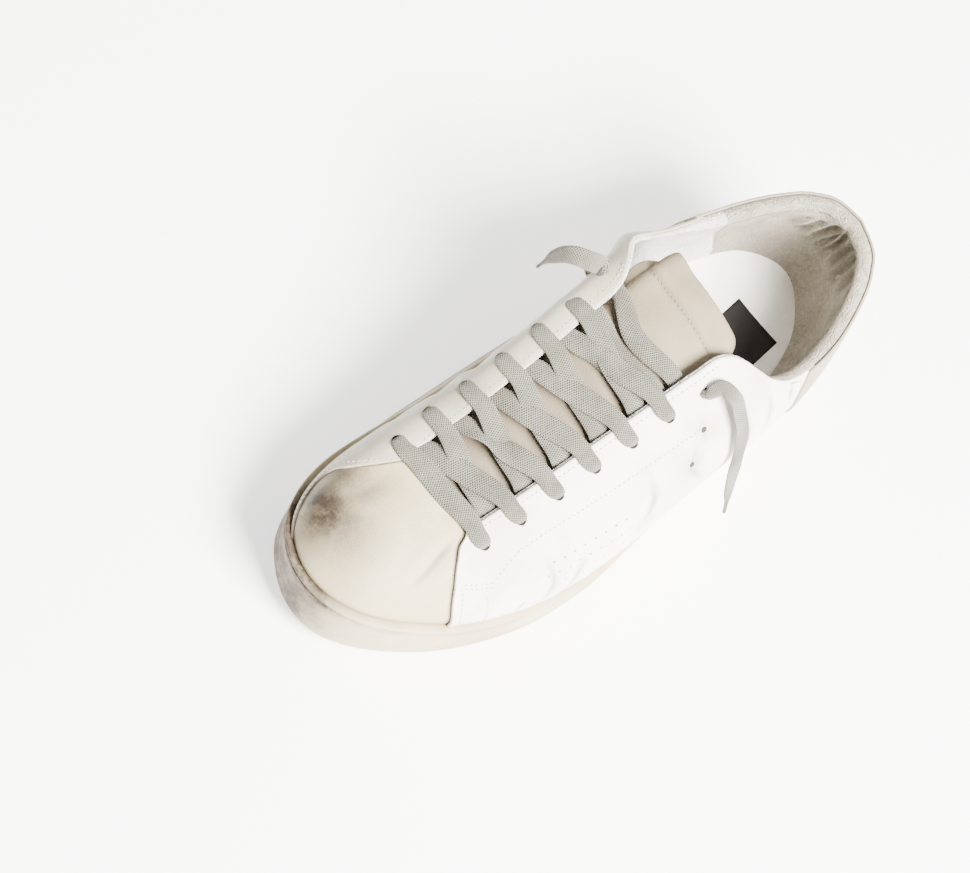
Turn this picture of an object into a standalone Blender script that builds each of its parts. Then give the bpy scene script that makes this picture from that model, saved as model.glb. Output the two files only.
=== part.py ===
"""A worn low leather lace-up sneaker for the left foot, in metres, +Z up.

+Y points to the toe and +X to the wearer's right, which is the medial side of a left shoe.
The origin is under the middle of the sole's box, on the floor.
"""

import math

import bmesh
import bpy
import numpy as np
from mathutils import Matrix, Vector

# Driving dimensions of the last and the sole
SOLE_LENGTH = 0.298
BALL_WIDTH = 0.1065
HEEL_WIDTH = 0.0805
HEEL_HEIGHT = 0.088
INSTEP_HEIGHT = 0.098
THROAT_HEIGHT = 0.0555
LATERAL_DIP = 0.0705
MEDIAL_DIP = 0.075

# The rubber cup sole
SIDE_AT_HEEL = 0.030
SIDE_AT_BALL = 0.024
SIDE_AT_TOE = 0.0285
FLOOR_AT_HEEL = 0.0205
FLOOR_AT_BALL = 0.0095
TOE_SPRING = 0.0085
ARCH_RISE = 0.0022
HEEL_BEVEL = 0.0015
CUP_WALL = 0.0059
SIDE_FLARE = 0.0030
TOE_TUCK = 0.0045
TOE_ROUNDING = 0.8
LIP_TOP = 0.97

# The upper, the tongue and the insole
WALL = 0.0022
OVERLAY = 0.0011
GAP = 0.0003
SEAM = 0.0006
INSOLE_THICKNESS = 0.0060
TONGUE_THICKNESS = 0.0034
TONGUE_DROP = 0.0050
TONGUE_CROWN = 0.0040
TONGUE_WIDTH = 0.050
TONGUE_SHIFT = -0.0030
TONGUE_TIP = 0.3255 * SOLE_LENGTH
TONGUE_ROOT = 0.812 * SOLE_LENGTH
TONGUE_CORNER = 0.009
TONGUE_ALONG = 20
TONGUE_ACROSS = 11
EYELET_PITCH = 0.0597 * SOLE_LENGTH
EYELET_INSET = 0.0088
EYELET_DIAMETER = 0.0046
EYELETS = 7
FIRST_LATERAL_EYELET = 0.7701 * SOLE_LENGTH
FIRST_MEDIAL_EYELET = 0.7886 * SOLE_LENGTH

# The flat lace
LACE_WIDTH = 0.0076
LACE_THICKNESS = 0.0016
LACE_CLEARANCE = 0.0030
LACE_TUCK = 0.0034
LACE_SINK = 0.0026
LACE_FACING = np.array([0, 0.32, 0.95])
RUN_STEPS = 13
BAR_STEPS = 7

# A run of lace half way to the facing's edge, as shares of its length and of EYELET_INSET, and at the edge
HALF_SHARE = 0.07
HALF_INSET = 0.45
HALF_LIFT = 0.0006
EDGE_SHARE = 0.16
EDGE_LIFT = 0.0004

# The two broad bars: places of their medial and lateral ends as shares of SOLE_LENGTH
TOP_BARS = [(0.4782, 0.4715), (0.4312, 0.4362)]

# Routes of the two free ends in millimetres, in the object's own frame
LATERAL_END = [
    (-14.9, -27.5, 95.2),
    (-19.0, -33.0, 96.4),
    (-25.2, -36.2, 94.2),
    (-31.6, -36.4, 88.6),
    (-37.0, -35.2, 82.2),
    (-42.0, -34.4, 75.2),
    (-46.2, -33.6, 67.8),
    (-50.0, -33.0, 60.6),
    (-53.8, -33.0, 53.0),
    (-57.6, -33.2, 45.4),
    (-61.4, -33.6, 37.4),
]
MEDIAL_END = [
    (50.2, -18.6, 93.6),
    (52.6, -13.6, 98.6),
    (56.0, -8.6, 101.8),
    (60.4, -5.2, 101.6),
    (63.8, -3.4, 98.0),
    (65.7, -2.8, 92.2),
    (66.6, -2.8, 85.8),
    (67.0, -3.2, 79.8),
    (67.2, -4.0, 74.0),
]

AROUND = 72
LEVELS = 13

# Share of length, centre line as a share of the local width, fullness (1 is an ellipse)
OUTLINE = [
    (0.000, -0.015, 1.45),
    (0.020, -0.019, 1.46),
    (0.054, -0.025, 1.48),
    (0.107, -0.035, 1.405),
    (0.185, -0.043, 1.29),
    (0.285, -0.048, 1.167),
    (0.386, -0.057, 1.066),
    (0.487, -0.075, 1.014),
    (0.587, -0.085, 1.016),
    (0.688, -0.073, 1.066),
    (0.772, -0.036, 1.118),
    (0.839, 0.002, 1.170),
    (0.899, 0.037, 1.216),
    (0.946, 0.061, 1.269),
    (0.980, 0.078, 1.319),
    (1.000, 0.085, 1.34),
]

LIP_INSET = 1.15

# Inset from the outline as a share of SIDE_FLARE, height as a share of the side
SIDE_PROFILE = [
    (0.90, 0.000),
    (0.30, 0.040),
    (0.00, 0.120),
    (0.08, 0.300),
    (0.28, 0.340),
    (0.45, 0.620),
    (0.70, 0.840),
    (1.05, 0.870),
    (1.05, 0.900),
    (0.74, 0.920),
    (0.80, 0.985),
    (1.15, 1.000),
]

# The upper's free edge: share of length at the feather, x as a share of BALL_WIDTH,
# y as a share of SOLE_LENGTH, the height that it follows and the share of that height
LATERAL_EDGE = [
    (0.000, -0.010, 0.020, "heel", 1.000),
    (0.020, -0.110, 0.028, "heel", 0.994),
    (0.054, -0.195, 0.049, "heel", 0.970),
    (0.107, -0.290, 0.098, "heel", 0.910),
    (0.150, -0.345, 0.142, "dip", 1.060),
    (0.195, -0.372, 0.190, "dip", 1.000),
    (0.240, -0.365, 0.236, "dip", 1.010),
    (0.285, -0.315, 0.282, "instep", 0.810),
    (0.325, -0.248, 0.318, "instep", 0.920),
    (0.355, -0.185, 0.345, "instep", 0.993),
    (0.385, -0.138, 0.370, "instep", 1.000),
    (0.430, -0.130, 0.417, "instep", 0.960),
    (0.510, -0.130, 0.500, "instep", 0.870),
    (0.600, -0.128, 0.592, "instep", 0.770),
    (0.688, -0.127, 0.682, "instep", 0.670),
    (0.760, -0.124, 0.749, "throat", 1.078),
    (0.828, -0.114, 0.781, "throat", 1.026),
    (0.880, -0.066, 0.785, "throat", 1.034),
    (0.940, -0.005, 0.788, "throat", 1.034),
    (1.000, 0.056, 0.790, "throat", 1.033),
]
MEDIAL_EDGE = [
    (0.000, -0.010, 0.020, "heel", 1.000),
    (0.020, 0.085, 0.028, "heel", 0.994),
    (0.054, 0.170, 0.052, "heel", 0.975),
    (0.107, 0.252, 0.098, "heel", 0.925),
    (0.150, 0.300, 0.140, "dip", 1.045),
    (0.195, 0.338, 0.185, "dip", 1.000),
    (0.240, 0.362, 0.232, "dip", 1.030),
    (0.285, 0.380, 0.280, "instep", 0.835),
    (0.325, 0.408, 0.334, "instep", 0.925),
    (0.360, 0.426, 0.378, "instep", 0.992),
    (0.395, 0.370, 0.403, "instep", 0.986),
    (0.440, 0.318, 0.427, "instep", 0.948),
    (0.520, 0.288, 0.500, "instep", 0.870),
    (0.620, 0.262, 0.590, "instep", 0.770),
    (0.730, 0.246, 0.682, "instep", 0.670),
    (0.840, 0.240, 0.752, "throat", 1.072),
    (0.930, 0.222, 0.787, "throat", 1.020),
    (0.962, 0.178, 0.795, "throat", 1.022),
    (0.985, 0.115, 0.792, "throat", 1.030),
    (1.000, 0.056, 0.790, "throat", 1.033),
]

# Share of length, swell of the wall as a share of BALL_WIDTH, power that sets how high it is fullest
LATERAL_SWELL = [
    (0.00, 0.030, 0.8),
    (0.10, 0.045, 0.8),
    (0.20, 0.080, 0.8),
    (0.30, 0.098, 0.8),
    (0.39, 0.088, 1.0),
    (0.50, 0.056, 1.2),
    (0.60, 0.040, 1.3),
    (0.80, 0.030, 1.2),
    (1.00, 0.022, 0.8),
]
MEDIAL_SWELL = [
    (0.00, 0.030, 0.8),
    (0.10, 0.042, 0.8),
    (0.20, 0.052, 1.0),
    (0.30, 0.060, 1.5),
    (0.39, 0.074, 2.4),
    (0.45, 0.082, 2.6),
    (0.50, 0.076, 2.5),
    (0.60, 0.058, 2.2),
    (0.70, 0.044, 1.8),
    (0.80, 0.032, 1.4),
    (1.00, 0.022, 0.8),
]

# Share of length, angle in degrees at which the wall's arch stops at the free edge
LATERAL_ARCH = [
    (0.00, 45.0),
    (0.24, 47.0),
    (0.36, 58.0),
    (0.45, 68.0),
    (0.70, 72.0),
    (0.85, 73.0),
    (1.00, 76.0),
]
MEDIAL_ARCH = [
    (0.00, 45.0),
    (0.26, 48.0),
    (0.36, 66.0),
    (0.45, 84.0),
    (0.70, 86.0),
    (0.85, 82.0),
    (1.00, 76.0),
]

LATERAL_SEAM = 0.828
MEDIAL_SEAM = 0.940
LATERAL_PATCH = 0.205
MEDIAL_PATCH = 0.232


def curve_through(rows, at, column=1):
    """Reads a table at places between its rows, on one smooth curve."""
    places = np.array([row[0] for row in rows], float)
    values = np.array([row[column] for row in rows], float)
    steps = np.diff(places)
    slopes = np.diff(values) / steps
    tangents = np.empty_like(values)
    tangents[0] = slopes[0]
    tangents[-1] = slopes[-1]
    tangents[1:-1] = (slopes[:-1] * steps[1:] + slopes[1:] * steps[:-1]) / (steps[1:] + steps[:-1])
    at = np.clip(np.asarray(at, float), places[0], places[-1])
    cell = np.clip(np.searchsorted(places, at, side="right") - 1, 0, len(steps) - 1)
    run = steps[cell]
    t = (at - places[cell]) / run
    start = values[cell] * (1 + 2 * t) * (1 - t) ** 2 + tangents[cell] * run * t * (1 - t) ** 2
    end = values[cell + 1] * t * t * (3 - 2 * t) + tangents[cell + 1] * run * t * t * (t - 1)
    return start + end


def smooth_step(value, low, high):
    t = np.clip((np.asarray(value, float) - low) / (high - low), 0.0, 1.0)
    return t * t * (3 - 2 * t)


def station(turn):
    """The share of the length at an angle round the foot: 0 is the heel, pi the toe."""
    return (1 - np.cos(turn)) / 2


def turn_at(share, side):
    """The angle round the foot of a share of the length, on the lateral (-1) or medial (1) side."""
    angle = math.acos(1 - 2 * min(max(share, 0.0), 1.0))
    return angle if side < 0 else 2 * math.pi - angle


def local_width(share):
    return HEEL_WIDTH + (BALL_WIDTH - HEEL_WIDTH) * smooth_step(share, 0.2, 0.6)


def outline(turn):
    """The sole's widest outline, measured from the middle of the heel's back."""
    share = station(turn)
    width = local_width(share)
    x = width * (curve_through(OUTLINE, share) - curve_through(OUTLINE, share, 2) * np.sin(turn) / 2)
    return np.stack([x, SOLE_LENGTH * share], axis=-1)


FINE_TURNS = np.linspace(0, 2 * math.pi, 721)
MIDDLE_X = (outline(FINE_TURNS)[:, 0].max() + outline(FINE_TURNS)[:, 0].min()) / 2
MIDDLE_Y = (SOLE_LENGTH - TOE_ROUNDING * SIDE_FLARE) / 2


def side_height(share):
    rows = [(0.0, SIDE_AT_HEEL), (0.25, SIDE_AT_HEEL), (0.6, SIDE_AT_BALL), (0.8, SIDE_AT_BALL)]
    return curve_through(rows + [(0.97, SIDE_AT_TOE), (1.0, SIDE_AT_TOE)], share)


def ground_height(share):
    """The underside: flat at heel and forefoot, raised at the arch, the toe and the heel's back edge."""
    toe = TOE_SPRING * np.clip((share - 0.74) / 0.26, 0, 1) ** 1.8
    arch = ARCH_RISE * smooth_step(share, 0.34, 0.40) * (1 - smooth_step(share, 0.47, 0.54))
    heel = HEEL_BEVEL * np.clip(1 - share / 0.045, 0, 1)
    return toe + arch + heel


def cup_floor(share):
    return ground_height(share) + FLOOR_AT_HEEL + (FLOOR_AT_BALL - FLOOR_AT_HEEL) * smooth_step(share, 0.3, 0.62)


def inset_ring(turns, inset):
    """The outline moved inwards, as points in the plan."""
    small = 1e-3
    along = outline(turns + small) - outline(turns - small)
    along /= np.linalg.norm(along, axis=1, keepdims=True)
    inward = np.stack([along[:, 1], -along[:, 0]], axis=1)
    return outline(turns) + inward * inset


def raised(plan, height):
    """Plan points moved to the object's own frame, with a height worked out from their place along the foot."""
    share = np.clip(plan[:, 1] / SOLE_LENGTH, 0, 1)
    return np.column_stack([plan[:, 0] - MIDDLE_X, plan[:, 1] - MIDDLE_Y, height(share)])


def material(name, colour, roughness):
    made = bpy.data.materials.new(name)
    made.use_nodes = True
    shader = made.node_tree.nodes["Principled BSDF"]
    shader.inputs["Base Color"].default_value = (*colour, 1)
    shader.inputs["Roughness"].default_value = roughness
    return made


def add_object(name, bm, finish, collection):
    bmesh.ops.recalc_face_normals(bm, faces=bm.faces)
    mesh = bpy.data.meshes.new(name)
    bm.to_mesh(mesh)
    bm.free()
    mesh.shade_smooth()
    mesh.set_sharp_from_angle(angle=math.radians(35))
    mesh.materials.append(finish)
    made = bpy.data.objects.new(name, mesh)
    collection.objects.link(made)
    return made


def ladder(bm, ring, first):
    """Closes a ring with rungs from each point to the one across: first is 1 where the ring has end points."""
    count = len(ring)
    pairs = [(ring[i], ring[(count - i) % count if first else count - 1 - i]) for i in range(first, count // 2)]
    if first:
        bm.faces.new((ring[0], pairs[0][0], pairs[0][1]))
        bm.faces.new((ring[count // 2], pairs[-1][1], pairs[-1][0]))
    for (a, b), (c, d) in zip(pairs, pairs[1:]):
        bm.faces.new((a, c, d, b))


def loft(rings, closed=False, first=1):
    """Joins rings of equal count: closed joins the last to the first, or else ladders close both ends."""
    bm = bmesh.new()
    loops = [[bm.verts.new(point) for point in ring] for ring in rings]
    count = len(loops[0])
    following = loops[1:] + loops[:1] if closed else loops[1:]
    for low, high in zip(loops, following):
        for i in range(count):
            j = (i + 1) % count
            bm.faces.new((low[i], low[j], high[j], high[i]))
    if not closed:
        ladder(bm, loops[0], first)
        ladder(bm, loops[-1], first)
    return bm


def even_turns(count):
    return np.arange(count) * 2 * math.pi / count


def side_inset(turns, inset, height):
    """The side flares out to the ground, but tucks in below the lip on the medial side of the toe."""
    past_toe = turns - math.pi
    tucked = smooth_step(past_toe, -0.35, 0.30) * (1 - smooth_step(past_toe, 0.70, 1.30))
    flared = LIP_INSET * height * SIDE_FLARE
    tuck = LIP_INSET * SIDE_FLARE + TOE_TUCK * (1 - height)
    detail = (inset - LIP_INSET * height) * SIDE_FLARE
    return (detail + flared + (tuck - flared) * tucked)[:, None]


def build_sole(finish, collection):
    turns = even_turns(AROUND)
    rings = []
    for inset, height in SIDE_PROFILE:
        plan = inset_ring(turns, side_inset(turns, inset, height))
        rings.append(raised(plan, lambda s, h=height: ground_height(s) + h * side_height(s)))
    for inset, height in ((0.82, 1.0), (1.0, 0.96)):
        plan = inset_ring(turns, inset * CUP_WALL)
        rings.append(raised(plan, lambda s, h=height: ground_height(s) + h * side_height(s)))
    rings.append(raised(inset_ring(turns, CUP_WALL), cup_floor))
    return add_object("sole", loft(rings), finish, collection)


def build_insole(finish, collection):
    turns = even_turns(AROUND)
    room = CUP_WALL + GAP + WALL + GAP
    corner = INSOLE_THICKNESS / 4
    rows = ((0.0, 0.0), (0.0, INSOLE_THICKNESS - corner), (corner, INSOLE_THICKNESS))
    rings = [
        raised(inset_ring(turns, room + inset), lambda s, up=up: cup_floor(s) + GAP + up)
        for inset, up in rows
    ]
    return add_object("insole", loft(rings), finish, collection)


def edge_height(rows, dip, share):
    heights = {"heel": HEEL_HEIGHT, "dip": dip, "instep": INSTEP_HEIGHT, "throat": THROAT_HEIGHT}
    table = [(row[0], heights[row[3]] * row[4]) for row in rows]
    return curve_through(table, share)


def free_edge(turn):
    """The collar, facing and throat edge that a place on the feather line leads up to."""
    share = station(turn)
    lateral = np.sin(turn) >= 0
    found = []
    for rows, dip in ((LATERAL_EDGE, LATERAL_DIP), (MEDIAL_EDGE, MEDIAL_DIP)):
        x = BALL_WIDTH * curve_through(rows, share, 1)
        y = SOLE_LENGTH * curve_through(rows, share, 2)
        found.append(np.stack([x, y, edge_height(rows, dip, share)], axis=-1))
    return np.where(lateral[:, None], found[0], found[1])


def upper_surface(turns, climb):
    """The upper's outer face: climb 0 is where it leaves the rubber lip, 1 its free edge."""
    turns = np.asarray(turns, float)
    share = station(turns)
    foot = inset_ring(turns, CUP_WALL + GAP)
    foot_share = np.clip(foot[:, 1] / SOLE_LENGTH, 0, 1)
    low = ground_height(foot_share) + LIP_TOP * side_height(foot_share)
    edge = free_edge(turns)
    lateral = np.sin(turns) >= 0
    end = np.radians(np.where(lateral, curve_through(LATERAL_ARCH, share), curve_through(MEDIAL_ARCH, share)))
    angle = end * climb
    across = (1 - np.cos(angle)) / (1 - np.cos(end))
    up = np.sin(angle) / np.sin(end)
    plan = foot + (edge[:, :2] - foot) * across[:, None]
    height = low + (edge[:, 2] - low) * up
    outward = foot - inset_ring(turns, CUP_WALL + GAP + 0.001)
    outward /= np.linalg.norm(outward, axis=1, keepdims=True)
    swell, power = (
        np.where(lateral, curve_through(LATERAL_SWELL, share, column), curve_through(MEDIAL_SWELL, share, column))
        for column in (1, 2)
    )
    bulge = BALL_WIDTH * swell * np.sin(math.pi * climb ** power)
    plan = plan + outward * bulge[:, None]
    return np.column_stack([plan[:, 0] - MIDDLE_X, plan[:, 1] - MIDDLE_Y, height])


def surface_normals(turns, climb):
    small = 2e-3
    along = upper_surface(turns + small, climb) - upper_surface(turns - small, climb)
    low, high = max(climb - small, 0.0), min(climb + small, 1.0)
    rise = upper_surface(turns, high) - upper_surface(turns, low)
    normal = np.cross(rise, along)
    normal /= np.linalg.norm(normal, axis=1, keepdims=True)
    return normal


def upper_turns():
    """Even steps round the foot, with a close pair where an overlay's edge makes its step."""
    turns = list(even_turns(AROUND))
    pairs = []
    for share, side in ((LATERAL_SEAM, -1), (MEDIAL_SEAM, 1), (LATERAL_PATCH, -1), (MEDIAL_PATCH, 1)):
        middle = turn_at(share, side)
        pairs.append((middle - SEAM / SOLE_LENGTH, middle + SEAM / SOLE_LENGTH))
    kept = [t for t in turns if all(min(abs(t - a), abs(t - b)) > 0.03 for a, b in pairs)]
    return np.array(sorted(kept + [t for pair in pairs for t in pair]))


def overlay_thickness(turns):
    """The quarters lie over the toe piece, and the heel patch over the quarters."""
    seams = (turn_at(LATERAL_SEAM, -1), turn_at(MEDIAL_SEAM, 1))
    patches = (turn_at(LATERAL_PATCH, -1), turn_at(MEDIAL_PATCH, 1))
    quarter = (turns < seams[0]) | (turns > seams[1])
    patch = (turns < patches[0]) | (turns > patches[1])
    return OVERLAY * (quarter.astype(float) + patch)


def build_upper(finish, collection):
    turns = upper_turns()
    step = overlay_thickness(turns)[:, None]
    climbs = [math.sin(math.pi / 2 * level / LEVELS) for level in range(1, LEVELS + 1)]
    outer = [upper_surface(turns, climb) + surface_normals(turns, climb) * step for climb in climbs]
    inner = [upper_surface(turns, climb) - surface_normals(turns, climb) * WALL for climb in climbs]
    sides = []
    for inset in (CUP_WALL + GAP, CUP_WALL + GAP + WALL):
        plan = inset_ring(turns, inset)
        bottom = raised(plan, lambda s: cup_floor(s) + GAP)
        top = raised(plan, lambda s: ground_height(s) + LIP_TOP * side_height(s))
        sides.append((bottom, top))
    rings = [*sides[0], *outer, *inner[::-1], *sides[1][::-1]]
    return add_object("upper", loft(rings, closed=True), finish, collection)


def facing_line(side):
    """The facing's edge from its top corner to the throat, ordered by its place along the foot."""
    top, bottom = (0.43, 0.93) if side > 0 else (0.37, 0.82)
    turns = np.linspace(turn_at(top, side), turn_at(bottom, side), 120)
    edge = free_edge(turns)
    return edge[np.argsort(edge[:, 1])]


FACINGS = {side: facing_line(side) for side in (-1, 1)}


def facing_at(side, y):
    """A point on the facing's edge, followed straight on past its top corner."""
    line = FACINGS[side]
    low = line[8]
    slope = (line[30] - low) / (line[30][1] - low[1])
    if y < low[1]:
        return low + slope * (y - low[1])
    return np.array([np.interp(y, line[:, 1], line[:, axis]) for axis in range(3)])


def tongue_point(y, across, depth):
    """A point of the tongue: across runs from -1 to 1, depth goes down from its top face."""
    lateral, medial = facing_at(-1, y), facing_at(1, y)
    middle = (lateral + medial) / 2
    to_tip = (y - TONGUE_TIP) / TONGUE_CORNER
    corner = TONGUE_CORNER * (1 - math.sqrt(max(1 - (1 - min(to_tip, 1)) ** 2, 0.0)))
    half = TONGUE_WIDTH / 2 - corner
    height = middle[2] - TONGUE_DROP - TONGUE_CROWN * (across * half / (TONGUE_WIDTH / 2)) ** 2 - depth
    return middle[0] + TONGUE_SHIFT + across * half - MIDDLE_X, y - MIDDLE_Y, height


def build_tongue(finish, collection):
    across = np.linspace(-1, 1, TONGUE_ACROSS)
    places = TONGUE_ROOT + (TONGUE_TIP - TONGUE_ROOT) * np.sin(np.linspace(0, math.pi / 2, TONGUE_ALONG))
    rings = []
    for y in places:
        top = [tongue_point(y, a, 0.0) for a in across]
        bottom = [tongue_point(y, a, TONGUE_THICKNESS) for a in across[::-1]]
        rings.append(top + bottom)
    return add_object("tongue", loft(rings, first=0), finish, collection)


def facing_sheet():
    """Fine samples of the upper's outer face near the facings, with their normals."""
    points, normals = [], []
    turns = np.concatenate([np.linspace(turn_at(0.33, side), turn_at(0.95, side), 500) for side in (-1, 1)])
    for climb in np.linspace(0.5, 1.0, 50):
        points.append(upper_surface(turns, climb))
        normals.append(surface_normals(turns, climb))
    return np.concatenate(points), np.concatenate(normals)


def beside_facing(sheet, side, y, inset):
    """A point on the overlay's face at an inset from the facing's edge, and the face's normal there."""
    edge = facing_at(side, y)
    target = np.array([edge[0] + side * inset - MIDDLE_X, y - MIDDLE_Y])
    points, normals = sheet
    near = np.argsort(np.linalg.norm(points[:, :2] - target, axis=1))[:6]
    normal = normals[near].mean(axis=0)
    normal /= np.linalg.norm(normal)
    return points[near].mean(axis=0) + normal * OVERLAY, normal


def eyelet(sheet, side, number):
    first = FIRST_LATERAL_EYELET if side < 0 else FIRST_MEDIAL_EYELET
    return beside_facing(sheet, side, first - number * EYELET_PITCH, EYELET_INSET)


def punch_eyelets(upper, sheet, cutters):
    """Plain holes through the wall, with no metal ring."""
    bm = bmesh.new()
    depth = 4 * (WALL + OVERLAY)
    for side in (-1, 1):
        for number in range(EYELETS):
            centre, normal = eyelet(sheet, side, number)
            turn = Vector((0, 0, 1)).rotation_difference(Vector(normal)).to_matrix().to_4x4()
            place = Matrix.Translation(Vector(centre)) @ turn
            bmesh.ops.create_cone(
                bm,
                cap_ends=True,
                segments=10,
                radius1=EYELET_DIAMETER / 2,
                radius2=EYELET_DIAMETER / 2,
                depth=depth,
                matrix=place,
            )
    punch = add_object("eyelet_punch", bm, upper.data.materials[0], cutters)
    punch.hide_render = True
    punch.display_type = "WIRE"
    cut = upper.modifiers.new("eyelets", "BOOLEAN")
    cut.operation = "DIFFERENCE"
    cut.solver = "EXACT"
    cut.object = punch


def smooth_path(points, count):
    points = np.array(points, float)
    runs = np.concatenate([[0], np.cumsum(np.linalg.norm(np.diff(points, axis=0), axis=1))])
    at = np.linspace(0, runs[-1], count)
    return np.stack([curve_through(list(zip(runs, points[:, axis])), at) for axis in range(3)], axis=1)


def ribbon(path, normals):
    """A flat lace with round edges along a path, its face turned to the normals."""
    tangents = np.gradient(path, axis=0)
    tangents /= np.linalg.norm(tangents, axis=1, keepdims=True)
    across = np.cross(tangents, normals)
    across /= np.linalg.norm(across, axis=1, keepdims=True)
    upward = np.cross(across, tangents)
    section = [(-0.5, 0.0), (-0.36, 0.5), (0.36, 0.5), (0.5, 0.0), (0.36, -0.5), (-0.36, -0.5)]
    rings = []
    for point, side, up in zip(path, across, upward):
        rings.append([point + side * LACE_WIDTH * w + up * LACE_THICKNESS * t for w, t in section])
    return loft(rings, first=0)


def own_frame(point):
    return np.array([point[0] - MIDDLE_X, point[1] - MIDDLE_Y, point[2]])


def strand(sheet, side, number, over):
    """One run of lace: from the top of an eyelet, over its facing and down to the far facing's underside."""
    rise = LACE_CLEARANCE + LACE_THICKNESS / 2
    straight = number == 0
    centre, normal = eyelet(sheet, side, number)
    y = centre[1] + MIDDLE_Y
    target = eyelet(sheet, -side, number)[0][1] + MIDDLE_Y + (0 if straight else EYELET_PITCH / 2)
    half, half_normal = beside_facing(sheet, side, y + (target - y) * HALF_SHARE, EYELET_INSET * HALF_INSET)
    half = half + half_normal * (rise + HALF_LIFT)
    edge = own_frame(facing_at(side, y + (target - y) * EDGE_SHARE))
    edge[2] += rise + OVERLAY + EDGE_LIFT
    far = own_frame(facing_at(-side, target))
    if straight:
        far_centre, far_normal = eyelet(sheet, -side, number)
        far[2] += rise + OVERLAY + EDGE_LIFT
        far_half, far_half_normal = beside_facing(sheet, -side, target, EYELET_INSET * HALF_INSET)
        far_half = far_half + far_half_normal * (rise + HALF_LIFT)
        points = [centre + normal * rise, half, edge, (edge + far) / 2, far, far_half, far_centre + far_normal * rise]
        across = (half_normal + far_half_normal) / 2
        normals = [normal, half_normal, across, across, across, far_half_normal, far_normal]
    else:
        far += np.array([side * LACE_TUCK, 0, -LACE_SINK])
        middle = (edge + far) / 2 + np.array([0, 0, over])
        points = [centre + normal * rise, half, edge, middle, far]
        normals = [normal, half_normal, (half_normal + LACE_FACING) / 2, LACE_FACING, LACE_FACING]
    path = smooth_path(points, RUN_STEPS)
    blend = np.linspace(0, len(points) - 1, RUN_STEPS)
    faces = [np.interp(blend, range(len(points)), [n[axis] for n in normals]) for axis in range(3)]
    return path, np.stack(faces, axis=1)


def top_bar(medial_share, lateral_share):
    """A run that crosses the tongue with both its ends under the facings."""
    ends = [own_frame(facing_at(side, s * SOLE_LENGTH)) for side, s in ((1, medial_share), (-1, lateral_share))]
    ends[0] += np.array([-LACE_TUCK, 0, -LACE_SINK])
    ends[1] += np.array([LACE_TUCK, 0, -LACE_SINK])
    path = smooth_path([ends[0], (ends[0] + ends[1]) / 2, ends[1]], BAR_STEPS)
    return path, np.tile(LACE_FACING, (BAR_STEPS, 1))


def free_end(route):
    """A loose end's run, with its face kept square to the way that it bends."""
    path = smooth_path(np.array(route) / 1000, 3 * len(route))
    tangents = np.gradient(path, axis=0)
    level = np.cross(tangents, np.cross([0, 0, 1.0], tangents))
    level[:, 2] = np.abs(level[:, 2])
    return path, level


def join_ribbons(name, runs, finish, collection):
    """Crossing runs of lace made one solid."""
    pieces = []
    for index, (path, faces) in enumerate(runs):
        pieces.append(add_object(f"{name}_run_{index}", ribbon(path, faces), finish, collection))
    whole = pieces[0]
    whole.name = name
    for piece in pieces[1:]:
        union = whole.modifiers.new("cross", "BOOLEAN")
        union.operation = "UNION"
        union.solver = "EXACT"
        union.object = piece
        piece.hide_render = True
        piece.display_type = "WIRE"
    return whole


def build_lacing(sheet, finish, collection):
    join_ribbons("lace_bar_1", [strand(sheet, -1, 0, 0.0)], finish, collection)
    for number in range(1, EYELETS - 1):
        over = strand(sheet, -1, number, 0.0010)
        under = strand(sheet, 1, number, -0.0003)
        join_ribbons(f"lace_crossing_{number + 1}", [over, under], finish, collection)
    for index, shares in enumerate(TOP_BARS):
        join_ribbons(f"lace_bar_{index + 2}", [top_bar(*shares)], finish, collection)
    join_ribbons("lace_end_lateral", [free_end(LATERAL_END)], finish, collection)
    join_ribbons("lace_end_medial", [free_end(MEDIAL_END)], finish, collection)


def main():
    for old in list(bpy.data.objects):
        bpy.data.objects.remove(old)
    shoe = bpy.data.collections.new("worn_sneaker")
    cutters = bpy.data.collections.new("cutters")
    bpy.context.scene.collection.children.link(shoe)
    bpy.context.scene.collection.children.link(cutters)
    rubber = material("cream_rubber", (0.72, 0.65, 0.50), 0.6)
    leather = material("white_leather", (0.85, 0.84, 0.80), 0.45)
    tan = material("beige_leather", (0.66, 0.58, 0.50), 0.6)
    cotton = material("grey_cotton", (0.50, 0.49, 0.46), 0.9)
    lining = material("white_footbed", (0.80, 0.79, 0.76), 0.8)
    build_sole(rubber, shoe)
    build_insole(lining, shoe)
    upper = build_upper(leather, shoe)
    build_tongue(tan, shoe)
    sheet = facing_sheet()
    punch_eyelets(upper, sheet, cutters)
    build_lacing(sheet, cotton, shoe)


main()
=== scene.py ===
# %% [markdown]
# # A worn leather sneaker, left foot
#
# This lesson dresses a plain solid shoe as the real one looks. Each cell makes one piece or one finish.
# The plain solids are loaded first, and every new piece stands for one of them or lies on one of them.
# Lengths are in metres. +Y points to the toe, +X to the wearer's right, and +Z up.

# %% Load the frame
import math
import random

import bmesh
import bpy
import numpy as np
from mathutils import Matrix, Vector


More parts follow.
